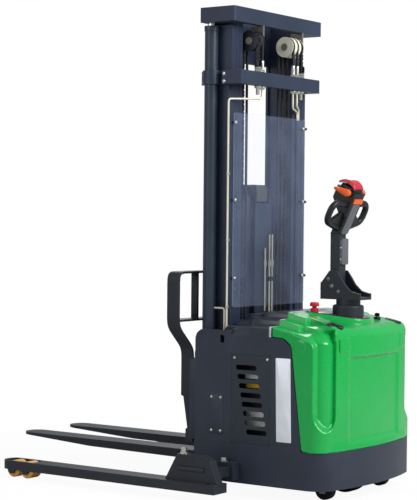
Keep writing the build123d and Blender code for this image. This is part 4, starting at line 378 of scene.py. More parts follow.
# Screws and bolts of the body: zinc dome heads on the walls and the guard, bright ones on the
# cylinder saddles, black posts and pins behind the guard, and hex heads on the clamps that
# hold the legs in the cross tube.
def turned(profile, centre, axis, steps=32):
    """A lathe shape: rows of (radius, height) swept round an axis through a centre, in millimetres."""
    profile = np.asarray(profile, float)
    turn = np.arange(steps) * (2 * np.pi / steps)
    ahead_axis = np.asarray(axis, float) / np.linalg.norm(axis)
    helper = np.eye(3)[np.argmin(np.abs(ahead_axis))]
    first = np.cross(ahead_axis, helper)
    first = first / np.linalg.norm(first)
    second = np.cross(ahead_axis, first)
    ring = np.cos(turn)[:, None] * first + np.sin(turn)[:, None] * second
    spots = profile[:, :1, None] * ring[None] + profile[:, 1:, None] * ahead_axis
    return at(*np.moveaxis(spots + np.asarray(centre, float), -1, 0))


def dome_head(centre, axis, radius, height):
    """A dome screw head: a washer rim, then a low cap."""
    share = np.linspace(0.0, np.pi / 2, 6)
    rim = 0.25 * height
    cap = np.stack([0.82 * radius * np.cos(share), rim + (height - rim) * np.sin(share)], axis=-1)
    rows = np.concatenate([[[0.0, -SUNK_IN], [radius, -SUNK_IN], [radius, rim]], cap])
    return turned(rows, centre, axis, 20)


def hex_head(centre, axis, radius, height):
    """A hexagon head on a washer, its corners chamfered."""
    rim = 1.3 * radius
    seat = 0.18 * height
    washer = [[0.0, -SUNK_IN], [rim, -SUNK_IN], [rim, seat], [0.5 * radius, seat]]
    head = [[0.0, 0.1 * height], [radius, seat], [radius, HEX_FLAT * height],
            [HEX_FLAT * radius, height], [0.0, height]]
    return [turned(washer, centre, axis, 24), turned(head, centre, axis, 6)]


def side_domes(places, face, radius, height):
    """Dome heads at places (x, z) on the left and right faces, looking outwards."""
    return [dome_head((x, side * face, z), (0, side, 0), radius, height)
            for side in SIDES.values() for x, z in places]


def plain_pin(radius, low, high):
    """Lathe rows of a plain round pin from low to high."""
    return [[0.0, low], [radius, low], [radius, high], [0.0, high]]


ALONG = (1, 0, 0)
ACROSS = (0, 1, 0)
UP = (0, 0, 1)
SUNK_IN = 0.5
HEX_FLAT = 0.86
zinc = drawn_metal("zinc_plate", (214, 212, 202), dirt=0.18)
chrome = drawn_metal("chrome_plate", (222, 224, 228), 0.14, dirt=0.08)
black_oxide = drawn_metal("black_oxide", (46, 47, 50), 0.4, dirt=0.3, metal=0.6)
SCREW_R = 6.0
SCREW_HEIGHT = 3.6
CHEEK_SCREWS = [(x, z) for x in (-77.0, -30.0) for z in (416.0, 272.0)]
PANEL_SCREWS = [(40.0, 591.0), (207.0, 591.0)]
SADDLE_FACES = {-200.5: 300.0, -76.0: 326.0}
SADDLE_HEIGHTS = (1780.0, 1813.0)
GUARD_X = (-46.0, -42.0)
GUARD_MIDDLE_X = sum(GUARD_X) / 2
RAIL_FACE_X = -60.0
GUARD_BOLTS = (925.0, 1266.0, 1604.0)
GUARD_BOLT_Y = 279.0
GUARD_PIN = [[0.0, 286.0], [7.0, 286.0], [7.0, 303.0], [5.0, 306.0], [0.0, 306.0]]
CLAMP_BOLT = (8.0, 417.5, 147.5)
wall_domes = side_domes(CHEEK_SCREWS, CHASSIS_HALF + COVER_PROUD, SCREW_R, SCREW_HEIGHT)
wall_domes += side_domes(PANEL_SCREWS, CHASSIS_HALF, SCREW_R, SCREW_HEIGHT)
wall_screws = piece("wall_screws", wall_domes, zinc, "chassis")
saddle_bolts = []
for x, face in SADDLE_FACES.items():
    saddle_bolts += side_domes([(x, z) for z in SADDLE_HEIGHTS], face, 8.0, 7.5)
piece("saddle_bolts", saddle_bolts, chrome, "chassis")
guard_domes = [dome_head((GUARD_X[1], side * GUARD_BOLT_Y, z), ALONG, 8.5, 5.5)
               for side in SIDES.values() for z in GUARD_BOLTS]
guard_posts = [turned(plain_pin(5.0, 0.0, 13.8), (RAIL_FACE_X, side * GUARD_BOLT_Y, z), ALONG, 20)
               for side in SIDES.values() for z in GUARD_BOLTS]
guard_pins = [turned(GUARD_PIN, (GUARD_MIDDLE_X, 0.0, z), ACROSS, 6) for z in GUARD_BOLTS]
piece("guard_bolts", guard_domes, zinc, "chassis")
piece("guard_posts", guard_posts + guard_pins, black_oxide, "chassis")
clamp_bolts = [hex_head((CLAMP_BOLT[0], side * CLAMP_BOLT[1], CLAMP_BOLT[2]), UP, 13.0, 16.0)
               for side in SIDES.values()]
piece("clamp_bolts", [washer for washer, head in clamp_bolts], zinc, "chassis")
piece("clamp_bolt_heads", [head for washer, head in clamp_bolts], zinc, "chassis")
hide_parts("body_fasteners")

# Straddle legs: a flat steel arm with a forked tip for two rollers, and a gusset box at
# the rear with a pressed rib, a stop bolt and the sliding arm that goes into the cross tube.
leg_coat = painted("leg_powder_coat", (40, 43, 49), 0.46)
dress(leg_coat, "left_leg", "right_leg")
GUSSET_FACE = 597.0
GUSSET_Y = 575.0
RIB_PLACE = (-40.0, 130.0)
STOP_BOLT = (-90.0, 188.5)
FOOT_BOLT = (50.0, 80.0)
rib = slab(rounded(142.0, 19.0, 9.4), GUSSET_FACE - 1.0, GUSSET_FACE + 8.0, 5.0)
for side_name, side in SIDES.items():
    leg = side_name + "_leg"
    piece(side_name + "_gusset_rib", [on_side(rib, side, *RIB_PLACE)], leg_coat, leg)
    stop_washer, stop_head = hex_head((STOP_BOLT[0], side * GUSSET_Y, STOP_BOLT[1]), UP, 14.0, 26.5)
    piece(side_name + "_stop_washer", [stop_washer], zinc, leg)
    piece(side_name + "_stop_bolt", [stop_head], zinc, leg)
    foot_bolt = dome_head((FOOT_BOLT[0], side * (GUSSET_FACE - 0.5), FOOT_BOLT[1]), (0, side, 0), 9.0, 5.0)
    piece(side_name + "_foot_bolt", [foot_bolt], black_oxide, leg)

# Rollers at the leg tips: amber tyres of cast polyurethane on steel hubs. They turn on
# plain axles, pressed into the fork of each leg.
roller_yellow = painted("cast_polyurethane", (224, 164, 84), 0.5, 0.2, (176, 132, 84), 0.3)
dress(roller_yellow, "left_front_load_roller", "left_rear_load_roller",
      "right_front_load_roller", "right_rear_load_roller")

# Drive unit, drive wheel and casters: a cast gearbox and a motor on a turret that turns
# with the tiller, black rubber and polyurethane tyres, pressed caster forks.
casting = painted("cast_grey_iron", (70, 72, 74), 0.6, 0.25, (120, 120, 120), 0.3)
tyre_rubber = painted("tyre_rubber", (24, 24, 25), 0.72, 0.3, (60, 60, 60), 0.3)
pressed_zinc = drawn_metal("pressed_zinc", (150, 150, 146), 0.42, dirt=0.25)
dress(casting, "drive_unit")
dress(tyre_rubber, "drive_wheel", "left_caster_wheel", "right_caster_wheel")
dress(pressed_zinc, "left_caster_fork", "right_caster_fork")

# Battery and power pack inside the closed body: a black plastic case in the bay between the
# walls, and a steel tank with a pump motor beside the drive.
case_plastic = painted("battery_case_plastic", (30, 31, 33), 0.5, 0.2, (60, 60, 60), 0.2)
dress(case_plastic, "battery", "power_pack")


# Battery cover: a dark moulded lid with two rounded steps along each side, lifted off by hand. A pale strip
# along its rear edge, against the hood, is a painted highlight on the lid's rounded rear edge.
def smoothed(points, reach, count):
    """Walk evenly along a broken line and average over a reach, which rounds its corners."""
    points = np.asarray(points, float)
    lengths = np.linalg.norm(np.diff(points, axis=0), axis=1)
    far = np.concatenate([[0.0], np.cumsum(lengths)])
    walk = np.linspace(0.0, far[-1], count)
    line = np.stack([np.interp(walk, far, points[:, i]) for i in range(points.shape[1])], axis=-1)
    half = max(1, int(round(0.5 * reach / (far[-1] / (count - 1)))))
    window = np.hanning(2 * half + 3)[1:-1]
    padded = np.concatenate([2 * line[0] - line[half:0:-1], line, 2 * line[-1] - line[-2:-half - 2:-1]])
    return np.stack([np.convolve(padded[:, i], window / window.sum(), "valid")
                     for i in range(points.shape[1])], axis=-1)


def moulded(name, colour, rough=0.45, grain_scale=900.0, grain=0.18, drift=0.1, coat=0.0, shine=0.3):
    """Moulded plastic. A fine noise gives the stippled mould texture, a wide one a slight drift."""
    material, tree = fresh_material(name)
    wide, fine, edge = surface_maps(tree, 4.0, grain_scale, 0.002)
    body = drifting(tree, wide, colour, 1.0 - drift, 1.0 + drift)
    skin = wired(tree, "ShaderNodeBump", {"Strength": grain, "Distance": 0.0004,
                                          "Height": fine, "Normal": edge})
    satin = spread(tree, wide, rough - 0.04, rough + 0.04)
    surfaced(tree, {"Base Color": body, "Roughness": satin, "Specular IOR Level": shine,
                    "Coat Weight": coat, "Coat Roughness": 0.08, "Normal": skin.outputs["Normal"]})
    return material


def ease(value):
    """Smooth step from nothing at 0 to one at 1."""
    share = np.clip(value, 0.0, 1.0)
    return share * share * (3.0 - 2.0 * share)


def pressed_lid(section, x_places, drops):
    """A section (y, z) carried along X and sunk by a drop at each place. Over the front stretch the
    steps draw in towards the middle, more the higher they stand, and the deck comes down."""
    x = np.asarray(x_places)[:, None]
    drop = np.asarray(drops)[:, None]
    y, z = section.T
    height = (z - LID_FOOT) / (LID_TOP - LID_FOOT)
    near = ease((LID_NARROW - x) / (LID_NARROW - LID_FRONT))
    draw = near * LID_DRAW * height + drop * np.minimum(1.0, height / DROP_START)
    crown = LID_CROWN * (1.0 - (y / LID_HALF) ** 2) * (height > CROWN_START)
    return at(x, y * (1.0 - draw / LID_HALF), z + crown - height * (near * LID_LOWER + drop))


def shell(part):
    """Give an open skin its wall, on the inside."""
    wall = part.modifiers.new("wall", "SOLIDIFY")
    wall.thickness = SHELL_WALL
    wall.offset = -1.0


SHELL_WALL = 0.004
LID_FRONT = -34.0
LID_NARROW = 120.0
LID_DRAW = 105.0
LID_LOWER = 16.0
LID_CROWN = 3.0
LID_HALF = 395.0
LID_FOOT = 686.5
LID_DECK = 781.0
LID_TOP = LID_DECK + LID_CROWN
CROWN_START = 0.95
DROP_START = 1.0 / 3.0
STEPS = [(-LID_HALF, LID_FOOT), (-LID_HALF, 729.0), (-317.0, 731.0), (-314.0, 755.0),
         (-252.0, 757.0), (-248.0, LID_DECK)]
WHOLE_STEPS = STEPS + [(0.0, LID_DECK)] + [(-y, z) for y, z in reversed(STEPS)]
STEP_ROUNDING = 14.0
EDGE_HIGHLIGHT_PLACES = (214.0, 216.0, 219.0, 222.5, 224.5, 225.0)
EDGE_HIGHLIGHT_DROPS = (0.0, -3.0, -4.0, -4.0, -3.0, 1.0)
LID_ENDS = (LID_FRONT, -33.0, -31.0, -28.0, 212.0, 216.0)
LID_END_DROPS = (6.0, 3.0, 1.0, 0.0, 0.0, 1.0)
LID_PLACES = np.concatenate([LID_ENDS[:4], np.linspace(-20.0, 210.0, 24), LID_ENDS[4:]])
LID_DROPS = np.interp(LID_PLACES, LID_ENDS, LID_END_DROPS)
cover_section = smoothed(WHOLE_STEPS, STEP_ROUNDING, 420)
cover_section[[0, -1], 1] = LID_FOOT
lid_plastic = moulded("lid_plastic", (34, 41, 51), 0.3, 700.0, 0.1, 0.12, 0.7)
# The pale strip at the rear end of the lid is a painted highlight, not a separate part.
edge_highlight_plastic = moulded("painted_edge_highlight", (186, 182, 196), 0.35, 700.0, 0.08)
lid = piece("battery_lid", [pressed_lid(cover_section, LID_PLACES, LID_DROPS)],
            lid_plastic, "battery_cover", wrap=False)
edge_highlight = piece("battery_lid_edge_highlight", [pressed_lid(cover_section, EDGE_HIGHLIGHT_PLACES, EDGE_HIGHLIGHT_DROPS)],
            edge_highlight_plastic, "battery_cover", wrap=False)
shell(lid)
shell(edge_highlight)
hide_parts("battery_cover")


# Hood: one glossy green moulding over the drive unit. Its side panel and its rear panel
# stand proud of a channel that runs along the side ledge and turns down the corner. The
# rear has a wide sunk panel. It sits on the skirt and butts against the battery lid.
HOOD_FRONT = 229.0
HOOD_REAR = 518.0
HOOD_SIDE = 392.0
HOOD_CORNER = 62.0
BOW_R = 1560.0
BOW_CENTRE_X = HOOD_REAR - BOW_R
HOOD_CORNER_X = BOW_CENTRE_X + math.sqrt((BOW_R - HOOD_CORNER) ** 2 - (HOOD_SIDE - HOOD_CORNER) ** 2)
SKIRT_TOP = 215.0
CHANNEL = (205.0, 320.0)
CHANNEL_DEPTH = 26.0
CHANNEL_FOOT = 292.0
CHANNEL_BOWL = 52.0
CHANNEL_RUNOUT = 34.0
SHOULDER_Z = 699.0
SHOULDER_R = 52.0
SHOULDER_LEAD = 7.0
SHOULDER_SOFT = 18.0
POST_R = 62.0
POST_REACH = 190.0
POST_LEAD = 44.0
POST_WALL = 26.0
POST_SWEEP = 1.5
CHUTE = (90.0, 240.0)
SUNK_HALF = 222.0
SUNK_Z = (238.0, 607.0)
SUNK_DEPTH = 15.0
SUNK_SIDE = 14.0
SUNK_HEAD = 9.0
SUNK_SILL = 20.0
NECK_HOLE_R = 55.0
STEER_X = 368.0
DECK_Z = 757.0
DECK_SLOPE = 0.2
SLOPE_START = 620.0
SLOPE_RISE = 80.0
HOOD_SPINE_X = 330.0
WALL_ROWS = 120
TOP_ROWS = 130
TOP_START = 680.0
WALL_FOOT = [(0.0, 689.0), (59.0, 685.0), (95.0, 655.0), (149.0, 217.0), (240.0, SKIRT_TOP)]
WALL_FOOT_END = 178.0
FOOT_ROUNDING = 40.0
SIDE_LEDGES = [(0.0, TOP_START), (0.0, 702.0), (52.0, 705.0), (55.0, 728.0), (117.0, 731.0),
               (121.0, DECK_Z), (150.0, DECK_Z)]
LEDGE_ROUNDING = 15.0
CHUTE_FALL = [(0.0, TOP_START), (0.0, 688.0), (28.0, 712.0), (70.0, 731.0), (120.0, 756.0),
              (150.0, DECK_Z)]
CHUTE_ROUNDING = 40.0
REAR_EDGE = [(0.0, TOP_START), (0.0, 728.0), (14.0, 748.0), (46.0, 756.0), (150.0, DECK_Z)]
REAR_ROUNDING = 30.0
WALK_STRETCHES = [(0.0, 84.0, 30), (85.0, 172.0, 90), (174.0, 345.0, 90)]
LAST_STRETCH = (348.0, 70)
PAD_PLACE = (370.0, 659.0)
PAD_HALF = (32.0, 31.0)
PAD_CORNER = 9.0
PAD_PROUD = 7.0
PAD_SOFT = 6.0
BOSS_PLACE = (137.0, 653.0)
BOSS_R = 28.0
BOSS_PROUD = 2.6
BOSS_SOFT = 5.0
FLARE_TOP = 268.0
FLARE_FALL = 56.0
FLARE_OUT = 6.0


def hood_plan(walk):
    """Plan of the hood's wall by the way walked from its front: straight side, corner arc, bowed rear."""
    straight = HOOD_CORNER_X - HOOD_FRONT
    inner = HOOD_SIDE - HOOD_CORNER
    meet = math.atan2(inner, HOOD_CORNER_X - BOW_CENTRE_X)
    arc = (math.pi / 2 - meet) * HOOD_CORNER
    turn = -math.pi / 2 + np.clip(walk - straight, 0.0, arc) / HOOD_CORNER
    sweep = -meet + np.maximum(walk - straight - arc, 0.0) / BOW_R
    x = np.where(walk < straight, HOOD_FRONT + walk, HOOD_CORNER_X + HOOD_CORNER * np.cos(turn))
    y = np.where(walk < straight, -HOOD_SIDE, -inner + HOOD_CORNER * np.sin(turn))
    bowed = walk > straight + arc
    x = np.where(bowed, BOW_CENTRE_X + BOW_R * np.cos(sweep), x)
    y = np.where(bowed, BOW_R * np.sin(sweep), y)
    return x, y, straight + arc + BOW_R * meet


def corner_distance(a, b, radius):
    """How far a place is outside the quarter plane a < 0 and b < 0 whose corner is rounded."""
    inner_a = a + radius
    inner_b = b + radius
    outside = np.hypot(np.maximum(inner_a, 0.0), np.maximum(inner_b, 0.0))
    return outside + np.minimum(np.maximum(inner_a, inner_b), 0.0) - radius


def box_distance(a, b, half_a, half_b, radius):
    """How far a place is outside a rounded rectangle, less than nothing inside it."""
    over_a = np.abs(a) - half_a + radius
    over_b = np.abs(b) - half_b + radius
    outside = np.hypot(np.maximum(over_a, 0.0), np.maximum(over_b, 0.0))
    return outside + np.minimum(np.maximum(over_a, over_b), 0.0) - radius


def hood_levels(walk):
    """Height, inset and rear share of each wall point, by the way walked. The wall is upright. Over it
    the ledges of the side turn into the chute, and that into the rounded edge of the rear."""
    side_line = smoothed(SIDE_LEDGES, LEDGE_ROUNDING, TOP_ROWS)
    chute_line = smoothed(CHUTE_FALL, CHUTE_ROUNDING, TOP_ROWS)
    rear_line = smoothed(REAR_EDGE, REAR_ROUNDING, TOP_ROWS)
    chute = ease((walk - CHUTE[0]) / (CHUTE[1] - CHUTE[0]))[None, :, None]
    turn = np.clip((side_line[:, 1:] - DECK_Z + POST_R) / POST_R, 0.0, 1.0)
    post_width = POST_WALL + (POST_REACH - POST_WALL) * turn ** POST_SWEEP
    top_rear = ease((walk - CHANNEL[1] + POST_LEAD * turn + post_width) / post_width)
    low_rear = ease((walk - CHANNEL[1] + POST_WALL) / POST_WALL)
    low_z = np.linspace(0.0, 1.0, WALL_ROWS)[:, None] * (TOP_START - SKIRT_TOP) + SKIRT_TOP
    sides = side_line[:, None] * (1.0 - chute) + chute_line[:, None] * chute
    top = sides * (1.0 - top_rear[..., None]) + rear_line[:, None] * top_rear[..., None]
    low_shape = (WALL_ROWS, len(walk))
    level_z = np.concatenate([np.broadcast_to(low_z, low_shape), top[..., 1]])
    inset = np.concatenate([np.zeros(low_shape), top[..., 0]])
    return level_z, inset, np.concatenate([np.broadcast_to(low_rear, low_shape), top_rear])


def hood_relief(walk, y, z, level_z, rearward):
    """How far each wall point is sunk by the channel and the rear panel, less what stands proud: the
    pad, the round boss and the flare along the foot."""
    shoulder = corner_distance(walk - CHANNEL[0], level_z - SHOULDER_Z, SHOULDER_R)
    left_wall = ease((shoulder + SHOULDER_LEAD) / SHOULDER_SOFT)
    middle = (walk - 0.5 * (CHANNEL[0] + CHANNEL[1])) / (0.5 * (CHANNEL[1] - CHANNEL[0]))
    channel_end = ease((z - CHANNEL_FOOT - CHANNEL_BOWL * middle ** 2) / CHANNEL_RUNOUT)
    relief = CHANNEL_DEPTH * left_wall * (1.0 - rearward) * channel_end
    sunk = ease((SUNK_HALF - np.abs(y)) / SUNK_SIDE) * ease((SUNK_Z[1] - z) / SUNK_HEAD)
    relief = relief + SUNK_DEPTH * sunk * ease((z - SUNK_Z[0]) / SUNK_SILL)
    pad = box_distance(walk - PAD_PLACE[0], z - PAD_PLACE[1], *PAD_HALF, PAD_CORNER)
    relief = relief - PAD_PROUD * ease((0.5 * PAD_SOFT - pad) / PAD_SOFT)
    boss = np.hypot(walk - BOSS_PLACE[0], z - BOSS_PLACE[1])
    relief = relief - BOSS_PROUD * ease((BOSS_R - boss) / BOSS_SOFT)
    return relief - FLARE_OUT * rearward * ease((FLARE_TOP - z) / FLARE_FALL)


def hood_deck(edge_x, edge_y):
    """Deck of the left half: straight lines from the top of the wall in to a spine, which runs along
    the middle line and half round the hole for the tiller's neck."""
    spine = (STEER_X - NECK_HOLE_R - HOOD_FRONT, math.pi * NECK_HOLE_R, edge_x[-1] - STEER_X - NECK_HOLE_R)
    gone = np.linspace(0.0, 1.0, len(edge_x)) * sum(spine)
    past = gone - spine[0] - spine[1]
    around = np.clip((gone - spine[0]) / NECK_HOLE_R, 0.0, math.pi)
    spine_x = np.where(gone < spine[0], HOOD_FRONT + gone, STEER_X - NECK_HOLE_R * np.cos(around))
    spine_x = np.where(past > 0.0, STEER_X + NECK_HOLE_R + past, spine_x)
    spine_y = -NECK_HOLE_R * np.sin(around)
    share = np.linspace(0.06, 1.0, 20)[:, None]
    x = edge_x + share * (spine_x - edge_x)
    y = edge_y + share * (spine_y - edge_y)
    return x, y, DECK_Z - DECK_SLOPE * (x - STEER_X)


def hood_half():
    """Left half of the hood as a grid: a column is a place along the plan, a row a place up the wall
    or in over the deck. Wall points move in towards the middle, and the top slopes to the rear."""
    hood_length = hood_plan(np.zeros(1))[2]
    stretches = WALK_STRETCHES + [(LAST_STRETCH[0], hood_length, LAST_STRETCH[1])]
    walk = np.concatenate([np.linspace(*stretch) for stretch in stretches])
    x, y = hood_plan(walk)[:2]
    level_z, inset, rearward = hood_levels(walk)
    foot_line = smoothed(WALL_FOOT, FOOT_ROUNDING, 400)
    foot = np.interp(walk, foot_line[:, 0], foot_line[:, 1])
    foot = np.where(walk > WALL_FOOT_END, SKIRT_TOP, np.maximum(foot, SKIRT_TOP))
    slope = DECK_SLOPE * ease((level_z - SLOPE_START) / SLOPE_RISE)
    z = np.maximum(level_z - slope * (x - STEER_X), foot)
    inset = inset + hood_relief(walk, y, z, level_z, rearward)
    rest = np.stack([np.minimum(x, HOOD_SPINE_X) - x, -y])
    inwards_x, inwards_y = rest / np.linalg.norm(rest, axis=0)
    wall_x = x + inwards_x * inset
    wall_y = y + inwards_y * inset
    z = z + slope * (x - wall_x)
    deck = hood_deck(wall_x[-1], wall_y[-1])
    return [np.concatenate(rows) for rows in zip((wall_x, wall_y, z), deck)]


gloss_green = moulded("gloss_green_moulding", (14, 164, 72), 0.26, 900.0, 0.02, 0.04, 0.4, 0.2)
hood_x, hood_y, hood_z = hood_half()
STOP_PLACE = (262.0, -108.0, 0.0)
STOP_WELL_R = 26.0
STOP_WELL_DEPTH = 12.0
STOP_WELL_SOFT = 8.0
from_stop = np.hypot(hood_x - STOP_PLACE[0], hood_y - STOP_PLACE[1])
stop_well = STOP_WELL_DEPTH * ease((STOP_WELL_R - from_stop) / STOP_WELL_SOFT)
hood = piece("hood_moulding", [at(hood_x, hood_y, hood_z - stop_well), at(hood_x, -hood_y, hood_z)],
             gloss_green, "chassis", wrap=False, sharp=60.0)
shell(hood)
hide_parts("hood")

# Controls on the hood: a dark teardrop plate round the tiller, a red mushroom button on a
# thick stem, a key in its barrel, and two black oval plugs that close bolt holes.
console_plastic = moulded("console_plastic", (44, 34, 46), 0.32, 500.0, 0.06, 0.1, 0.3)
red_plastic = moulded("red_button_plastic", (190, 22, 40), 0.3, 600.0, 0.05, 0.08, 0.3)
black_plastic = moulded("black_plastic", (26, 27, 30), 0.42, 800.0, 0.15)
plug_plastic = moulded("oval_plug_plastic", (34, 22, 30), 0.3, 600.0, 0.05, 0.1, 0.3)
PLUG_PLACE = (452.0, 253.0)
PALM = 30.0
DECK_RIM = 712.0


def hood_seat(x, y):
    """Flat seat on the hood: the plane fitted to the deck's points within a palm of a place."""
    close = (np.hypot(hood_x - x, hood_y - y) < PALM) & (hood_z > DECK_RIM)
    spots = np.stack([np.ones(close.sum()), hood_x[close] - x, hood_y[close] - y], axis=-1)
    return np.linalg.lstsq(spots, hood_z[close], rcond=None)[0]


CONSOLE_ENDS = ((STOP_PLACE[0], STOP_PLACE[1], 33.0), (STEER_X, 0.0, 95.0))
CONSOLE_LEVEL = 783.0
CONSOLE_FALL = 0.135
COLLAR_HOLE = 62.0


def teardrop(first, last, grow, steps):
    """Hull of two circles (a, b, radius), both grown: in each direction the point of the circle that
    reaches further. Gives the outline and its directions."""
    turn = np.arange(steps) * (2 * np.pi / steps)
    out = np.stack([np.cos(turn), np.sin(turn)], axis=-1)
    first = np.array(first)
    last = np.array(last)
    further = out @ first[:2] + first[2] > out @ last[:2] + last[2]
    first_rim = first[:2] + (first[2] + grow) * out
    last_rim = last[:2] + (last[2] + grow) * out
    return np.where(further[:, None], first_rim, last_rim), out


def console_ring(grow, low, high, edge):
    """A plate round the tiller: the hull of a small circle at the button and a large one at the tiller.
    It runs from low to high over the console's sloping plane, with a rounded edge and a hole."""
    hull, out = teardrop(*CONSOLE_ENDS, grow, 96)
    hole = np.array(CONSOLE_ENDS[1][:2]) + COLLAR_HOLE * out
    plan = np.stack([hole, hull, hull, hull - KNEE * edge * out, hull - edge * out, hole, hole])
    heights = np.array([low, low, high - edge, high - KNEE * edge, high, high, low])[:, None]
    plane = CONSOLE_LEVEL - CONSOLE_FALL * (plan[..., 0] - CONSOLE_ENDS[0][0])
    return at(plan[..., 0], plan[..., 1], plane + heights)


console = piece("console_cover", [console_ring(0.0, -2.0, 3.5, 1.5)],
                console_plastic, "chassis")
piece("console_pedestal", [console_ring(7.0, -24.0, 0.5, 6.0)], gloss_green, "chassis")
KEY_PLACE = (420.0, 165.0, 0.0)
KEY_HALF = 3.0
KEY_BOW_Z = 766.0
KEY_BARREL = [[0.0, 740.0], [15.0, 740.0], [15.0, 755.0], [13.0, 756.6], [0.0, 756.6]]
piece("key_barrel", [turned(KEY_BARREL, KEY_PLACE, UP)], black_plastic, "chassis")
key_bow = slab(rounded(25.0, 17.0, 8.2), KEY_PLACE[1] - KEY_HALF, KEY_PLACE[1] + KEY_HALF, 1.5)
key = piece("key", [on_side(key_bow, 1, KEY_PLACE[0], KEY_BOW_Z)],
            black_plastic, "key_switch")
key_blade = turned(plain_pin(KEY_HALF, 750.0, 760.0), KEY_PLACE, UP, 16)
piece("key_blade", [key_blade], zinc, "key_switch")
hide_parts("key_switch")
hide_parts("console_plate")
dress(red_plastic, "emergency_button")
plug = slab(rounded(76.0, 40.0, 19.9), -6.0, 4.0, 2.0)
plug_level, plug_rise, plug_tilt = hood_seat(PLUG_PLACE[0], -PLUG_PLACE[1])
plug_z = plug_level + plug_rise * plug[..., 0] - plug_tilt * plug[..., 1] + plug[..., 2]
for side_name, side in SIDES.items():
    plug_y = side * (PLUG_PLACE[1] + plug[..., 1])
    piece(side_name + "_oval_plug", [at(PLUG_PLACE[0] + plug[..., 0], plug_y, plug_z)],
          plug_plastic, "chassis")
STOP_STEM = [[11.5, 776.0], [18.0, 776.0], [18.0, 797.0], [15.5, 799.5], [11.5, 799.5], [11.5, 776.0]]
piece("emergency_stem", [turned(STOP_STEM, STOP_PLACE, UP)], red_plastic, "chassis")


# Mast stages: three nested pairs of rolled steel channel in slate powder coat. The outer
# pair is welded to the chassis and has a bar across its rear with the cylinder saddles. A
# plate closes the head of the inner pair.
def across_mast(plate, y, z, side=1):
    """A plate that faces along the machine: its outline runs along Y and Z, its thickness along X."""
    return at(plate[..., 2], side * (y + plate[..., 0]), z + plate[..., 1])


slate = painted("slate_powder_coat", (42, 51, 70), 0.38, 0.16, (110, 120, 136))
dress(slate, "outer_mast", "middle_mast", "inner_mast", "mast_crossbar")
HEAD_PLATE_Z = 2040.0
head_plate = slab(rounded(424.0, 104.0, 3.0), -205.5, -192.5, 1.0)
piece("inner_head_plate", [across_mast(head_plate, 0.0, HEAD_PLATE_Z)], slate, "inner_mast")

# Lift cylinders: painted tubes with a screwed gland at the top, and chromed rods that
# push the top bar up. A third cylinder in the middle raises the crosshead.
cylinder_coat = painted("cylinder_paint", (46, 55, 67), 0.34, 0.12, (110, 120, 136))
dress(cylinder_coat, "lift_cylinders", "free_lift_cylinder")
dress(chrome, "lift_rods")
dress(casting, "free_lift_head")

# Guide rollers in the channels: turned steel with a thin film of grease, on stub axles
# welded to the rails of each stage and to the arms of the carriage.
turned_steel = drawn_metal("turned_steel", (112, 112, 112), 0.34, dirt=0.3)
dress(turned_steel, "middle_mast_rollers", "inner_mast_rollers", "carriage_rollers")

# Sheaves under the top bar and on the crosshead: turned cast iron, with a pale face on the
# right and black paint on the left. They turn in primed brackets welded under the bar.
sheave_iron = drawn_metal("sheave_iron", (246, 238, 218), 0.5, metal=0.0)
dark_sheave = drawn_metal("dark_sheave_iron", (50, 52, 58), 0.42, dirt=0.3, metal=0.6)
bracket_coat = painted("bracket_primer", (120, 116, 106), 0.5, 0.15)
dress(sheave_iron, "right_sheave")
dress(dark_sheave, "left_sheave", "head_sheaves")
dress(bracket_coat, "sheave_brackets")


# Chains: leaf chain in oiled steel, with pins through stacks of figure-eight plates. The lift
# chains go from the crossbar over the large sheaves down to the inner stage, and the
# carriage chains from the inner stage over the crosshead down to the fork carriage.
def chain_links(pins, y, width, plate_r):
    """Leaf chain on pins at places (x, z). A plate is two lobes round neighbouring pins with a waist
    between them, and stacks of three plates and of two take turns along the chain."""
    reach = np.diff(pins, axis=0)
    length = np.linalg.norm(reach, axis=1, keepdims=True)
    way = reach / length
    across = np.stack([-way[:, 1], way[:, 0]], axis=-1)
    middle = 0.5 * (pins[1:] + pins[:-1])
    lobe = np.radians([-75.0, -45.0, -15.0, 15.0, 45.0, 75.0])
    turn = np.concatenate([lobe, [np.pi / 2], lobe + np.pi, [-np.pi / 2]])
    on_lobe = np.abs(np.cos(turn)) >= 0.01
    end = np.where(on_lobe, np.sign(np.cos(turn)), 0.0)
    a = end * 0.5 * length + plate_r * np.cos(turn) * on_lobe
    b = np.broadcast_to(plate_r * np.sin(turn) * np.where(on_lobe, 1.0, WAIST_SHARE), a.shape)
    spots = middle[:, None] + a[..., None] * way[:, None] + b[..., None] * across[:, None]
    hub = np.broadcast_to(middle[:, None], spots.shape)
    leaf = width / LEAVES
    grids = []
    for order in range(LEAVES):
        low = y - width / 2 + leaf * order + LEAF_GAP
        high = low + leaf - 2 * LEAF_GAP
        heights = np.array([low, low, high, high])
        rows = np.stack([hub, spots, spots, hub], axis=1)[order % 2::2]
        grids.extend(at(rows[..., 0], heights[None, :, None], rows[..., 1]))
    ring = np.arange(8) * np.pi / 4
    disc = PIN_SHARE * plate_r * np.stack([np.cos(ring), np.sin(ring)], axis=-1)
    pin_rows = pins[:, None, None] + np.stack([0.0 * disc, disc, disc, 0.0 * disc])[None]
    ends = y + (width / 2 + PIN_PROUD) * np.array([-1.0, -1.0, 1.0, 1.0])
    grids.extend(at(pin_rows[..., 0], ends[None, :, None], pin_rows[..., 1]))
    return grids


def run_down(x, high, low, step):
    """Places (x, z) evenly down a straight run, about a step apart."""
    count = max(2, int(round((high - low) / step)) + 1)
    return np.stack([np.full(count, x), np.linspace(high, low, count)], axis=-1)


def over_sheave(centre, radius, step):
    """Places (x, z) over the top half of a sheave, from its rear to its front, about a step apart."""
    turn = np.linspace(0.0, np.pi, int(round(np.pi * radius / step)) + 1)
    return np.stack([centre[0] + radius * np.cos(turn), centre[1] + radius * np.sin(turn)], axis=-1)


def chain_piece(name, pins, chain, body):
    """The same run of a chain on the left and on the right, as one piece. A chain is its place
    across the mast, its width and the radius of its plates."""
    y, width, plate_r = chain
    grids = [grid for side in SIDES.values() for grid in chain_links(pins, side * y, width, plate_r)]
    return piece(name, grids, chain_steel, body)


